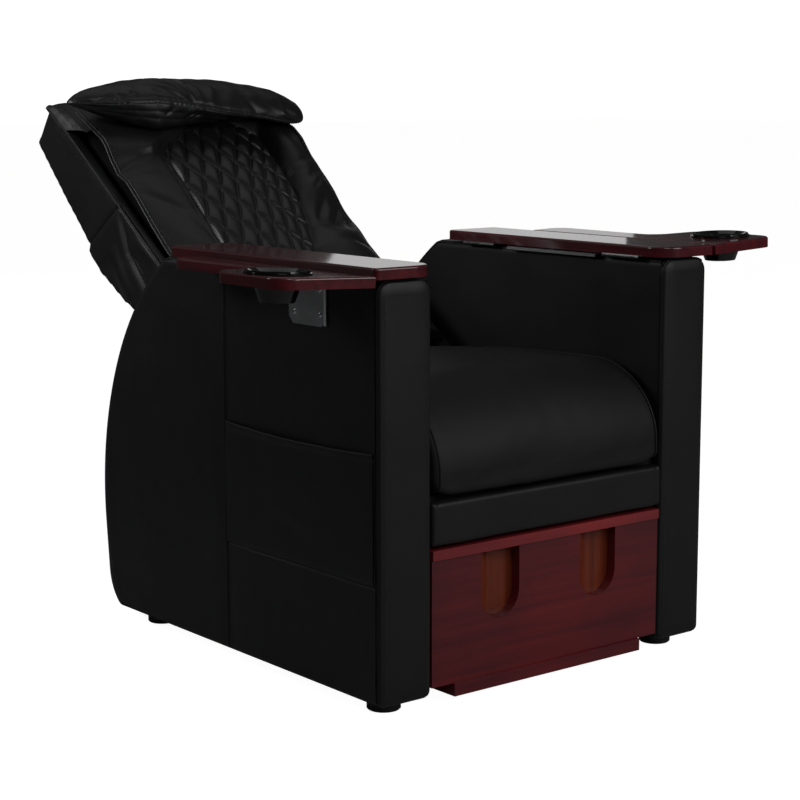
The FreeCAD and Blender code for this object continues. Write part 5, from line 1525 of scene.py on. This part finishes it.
def make_floor():
    """A wide floor that keeps the chair's shadow and that the camera sees as white."""
    mesh = bpy.data.meshes.new("floor")
    signs = ((-1, -1), (1, -1), (1, 1), (-1, 1))
    mesh.from_pydata([(a * FLOOR_REACH, b * FLOOR_REACH, 0) for a, b in signs], [], [(0, 1, 2, 3)])
    floor = new_object("floor", mesh)
    material = bpy.data.materials.new("floor_white")
    material.use_nodes = True
    tree = material.node_tree
    shader = tree.nodes["Principled BSDF"]
    set_inputs(shader, {"Base Color": (FLOOR_GREY, FLOOR_GREY, FLOOR_GREY, 1), "Roughness": FLOOR_ROUGH})
    set_inputs(shader, {"Specular IOR Level": 0.0, "Emission Color": WHITE})
    seen = tree.nodes.new("ShaderNodeMath")
    seen.operation = "MULTIPLY"
    seen.inputs[1].default_value = FLOOR_GLOW
    tree.links.new(white_to_camera(tree), seen.inputs[0])
    tree.links.new(seen.outputs[0], shader.inputs["Emission Strength"])
    mesh.materials.append(material)


def make_surround():
    """A world that is white to the camera and dim to everything else."""
    world = bpy.data.worlds.new("surround")
    bpy.context.scene.world = world
    world.use_nodes = True
    tree = world.node_tree
    soft = tree.nodes["Background"]
    set_inputs(soft, {"Color": (SURROUND, SURROUND, SURROUND, 1), "Strength": 1.0})
    bright = tree.nodes.new("ShaderNodeBackground")
    set_inputs(bright, {"Color": WHITE, "Strength": SKY_GLOW})
    mix = tree.nodes.new("ShaderNodeMixShader")
    for number, output in enumerate((white_to_camera(tree), soft.outputs[0], bright.outputs[0])):
        tree.links.new(output, mix.inputs[number])
    tree.links.new(mix.outputs[0], tree.nodes["World Output"].inputs[0])


def make_lamps():
    """Soft area lights, which the camera itself doesn't see."""
    for name, place, aim, wide, tall, power, reach in LAMPS:
        data = bpy.data.lights.new(name, "AREA")
        data.shape = "RECTANGLE"
        data.size = wide
        data.size_y = tall
        data.energy = power
        data.spread = math.radians(reach)
        lamp = new_object(name, data)
        lamp.visible_camera = False
        lamp.location = place
        lamp.rotation_euler = (Vector(place) - Vector(aim)).to_track_quat("Z", "Y").to_euler()


# The fitted viewpoint: azimuth, elevation and roll in degrees, the place in metres and the lens
CAMERA_TURNS = (-38.539, 8.999, -0.086)
CAMERA_PLACE = Vector((-2.2340, -3.0411, 1.0136))
CAMERA_LENS = 86.48
CAMERA_SENSOR = 36.0
CAMERA_REACH = 100.0


def make_camera():
    """The fitted viewpoint of the photograph, with plain colours."""
    azimuth, elevation, roll = (math.radians(turn) for turn in CAMERA_TURNS)
    flat = math.cos(elevation)
    back = Vector((math.sin(azimuth) * flat, -math.cos(azimuth) * flat, math.sin(elevation)))
    right = Vector((math.cos(azimuth), math.sin(azimuth), 0))
    turn = Matrix((right, back.cross(right), back)).transposed().to_4x4()
    data = bpy.data.cameras.new("camera")
    data.lens = CAMERA_LENS
    data.sensor_width = CAMERA_SENSOR
    data.clip_end = CAMERA_REACH
    camera = new_object("camera", data)
    camera.matrix_world = Matrix.Translation(CAMERA_PLACE) @ turn @ Matrix.Rotation(roll, 4, "Z")
    bpy.context.scene.camera = camera
    bpy.context.scene.view_settings.view_transform = "Standard"


for word, side in SIDES:
    make_arm(word, side)
    make_facing(word, side)
    make_pocket(word, side)
make_seat()
make_rail()
make_slots()
make_bracket_edges()
make_back()
finish_hard_parts()
make_floor()
make_surround()
make_lamps()
make_camera()
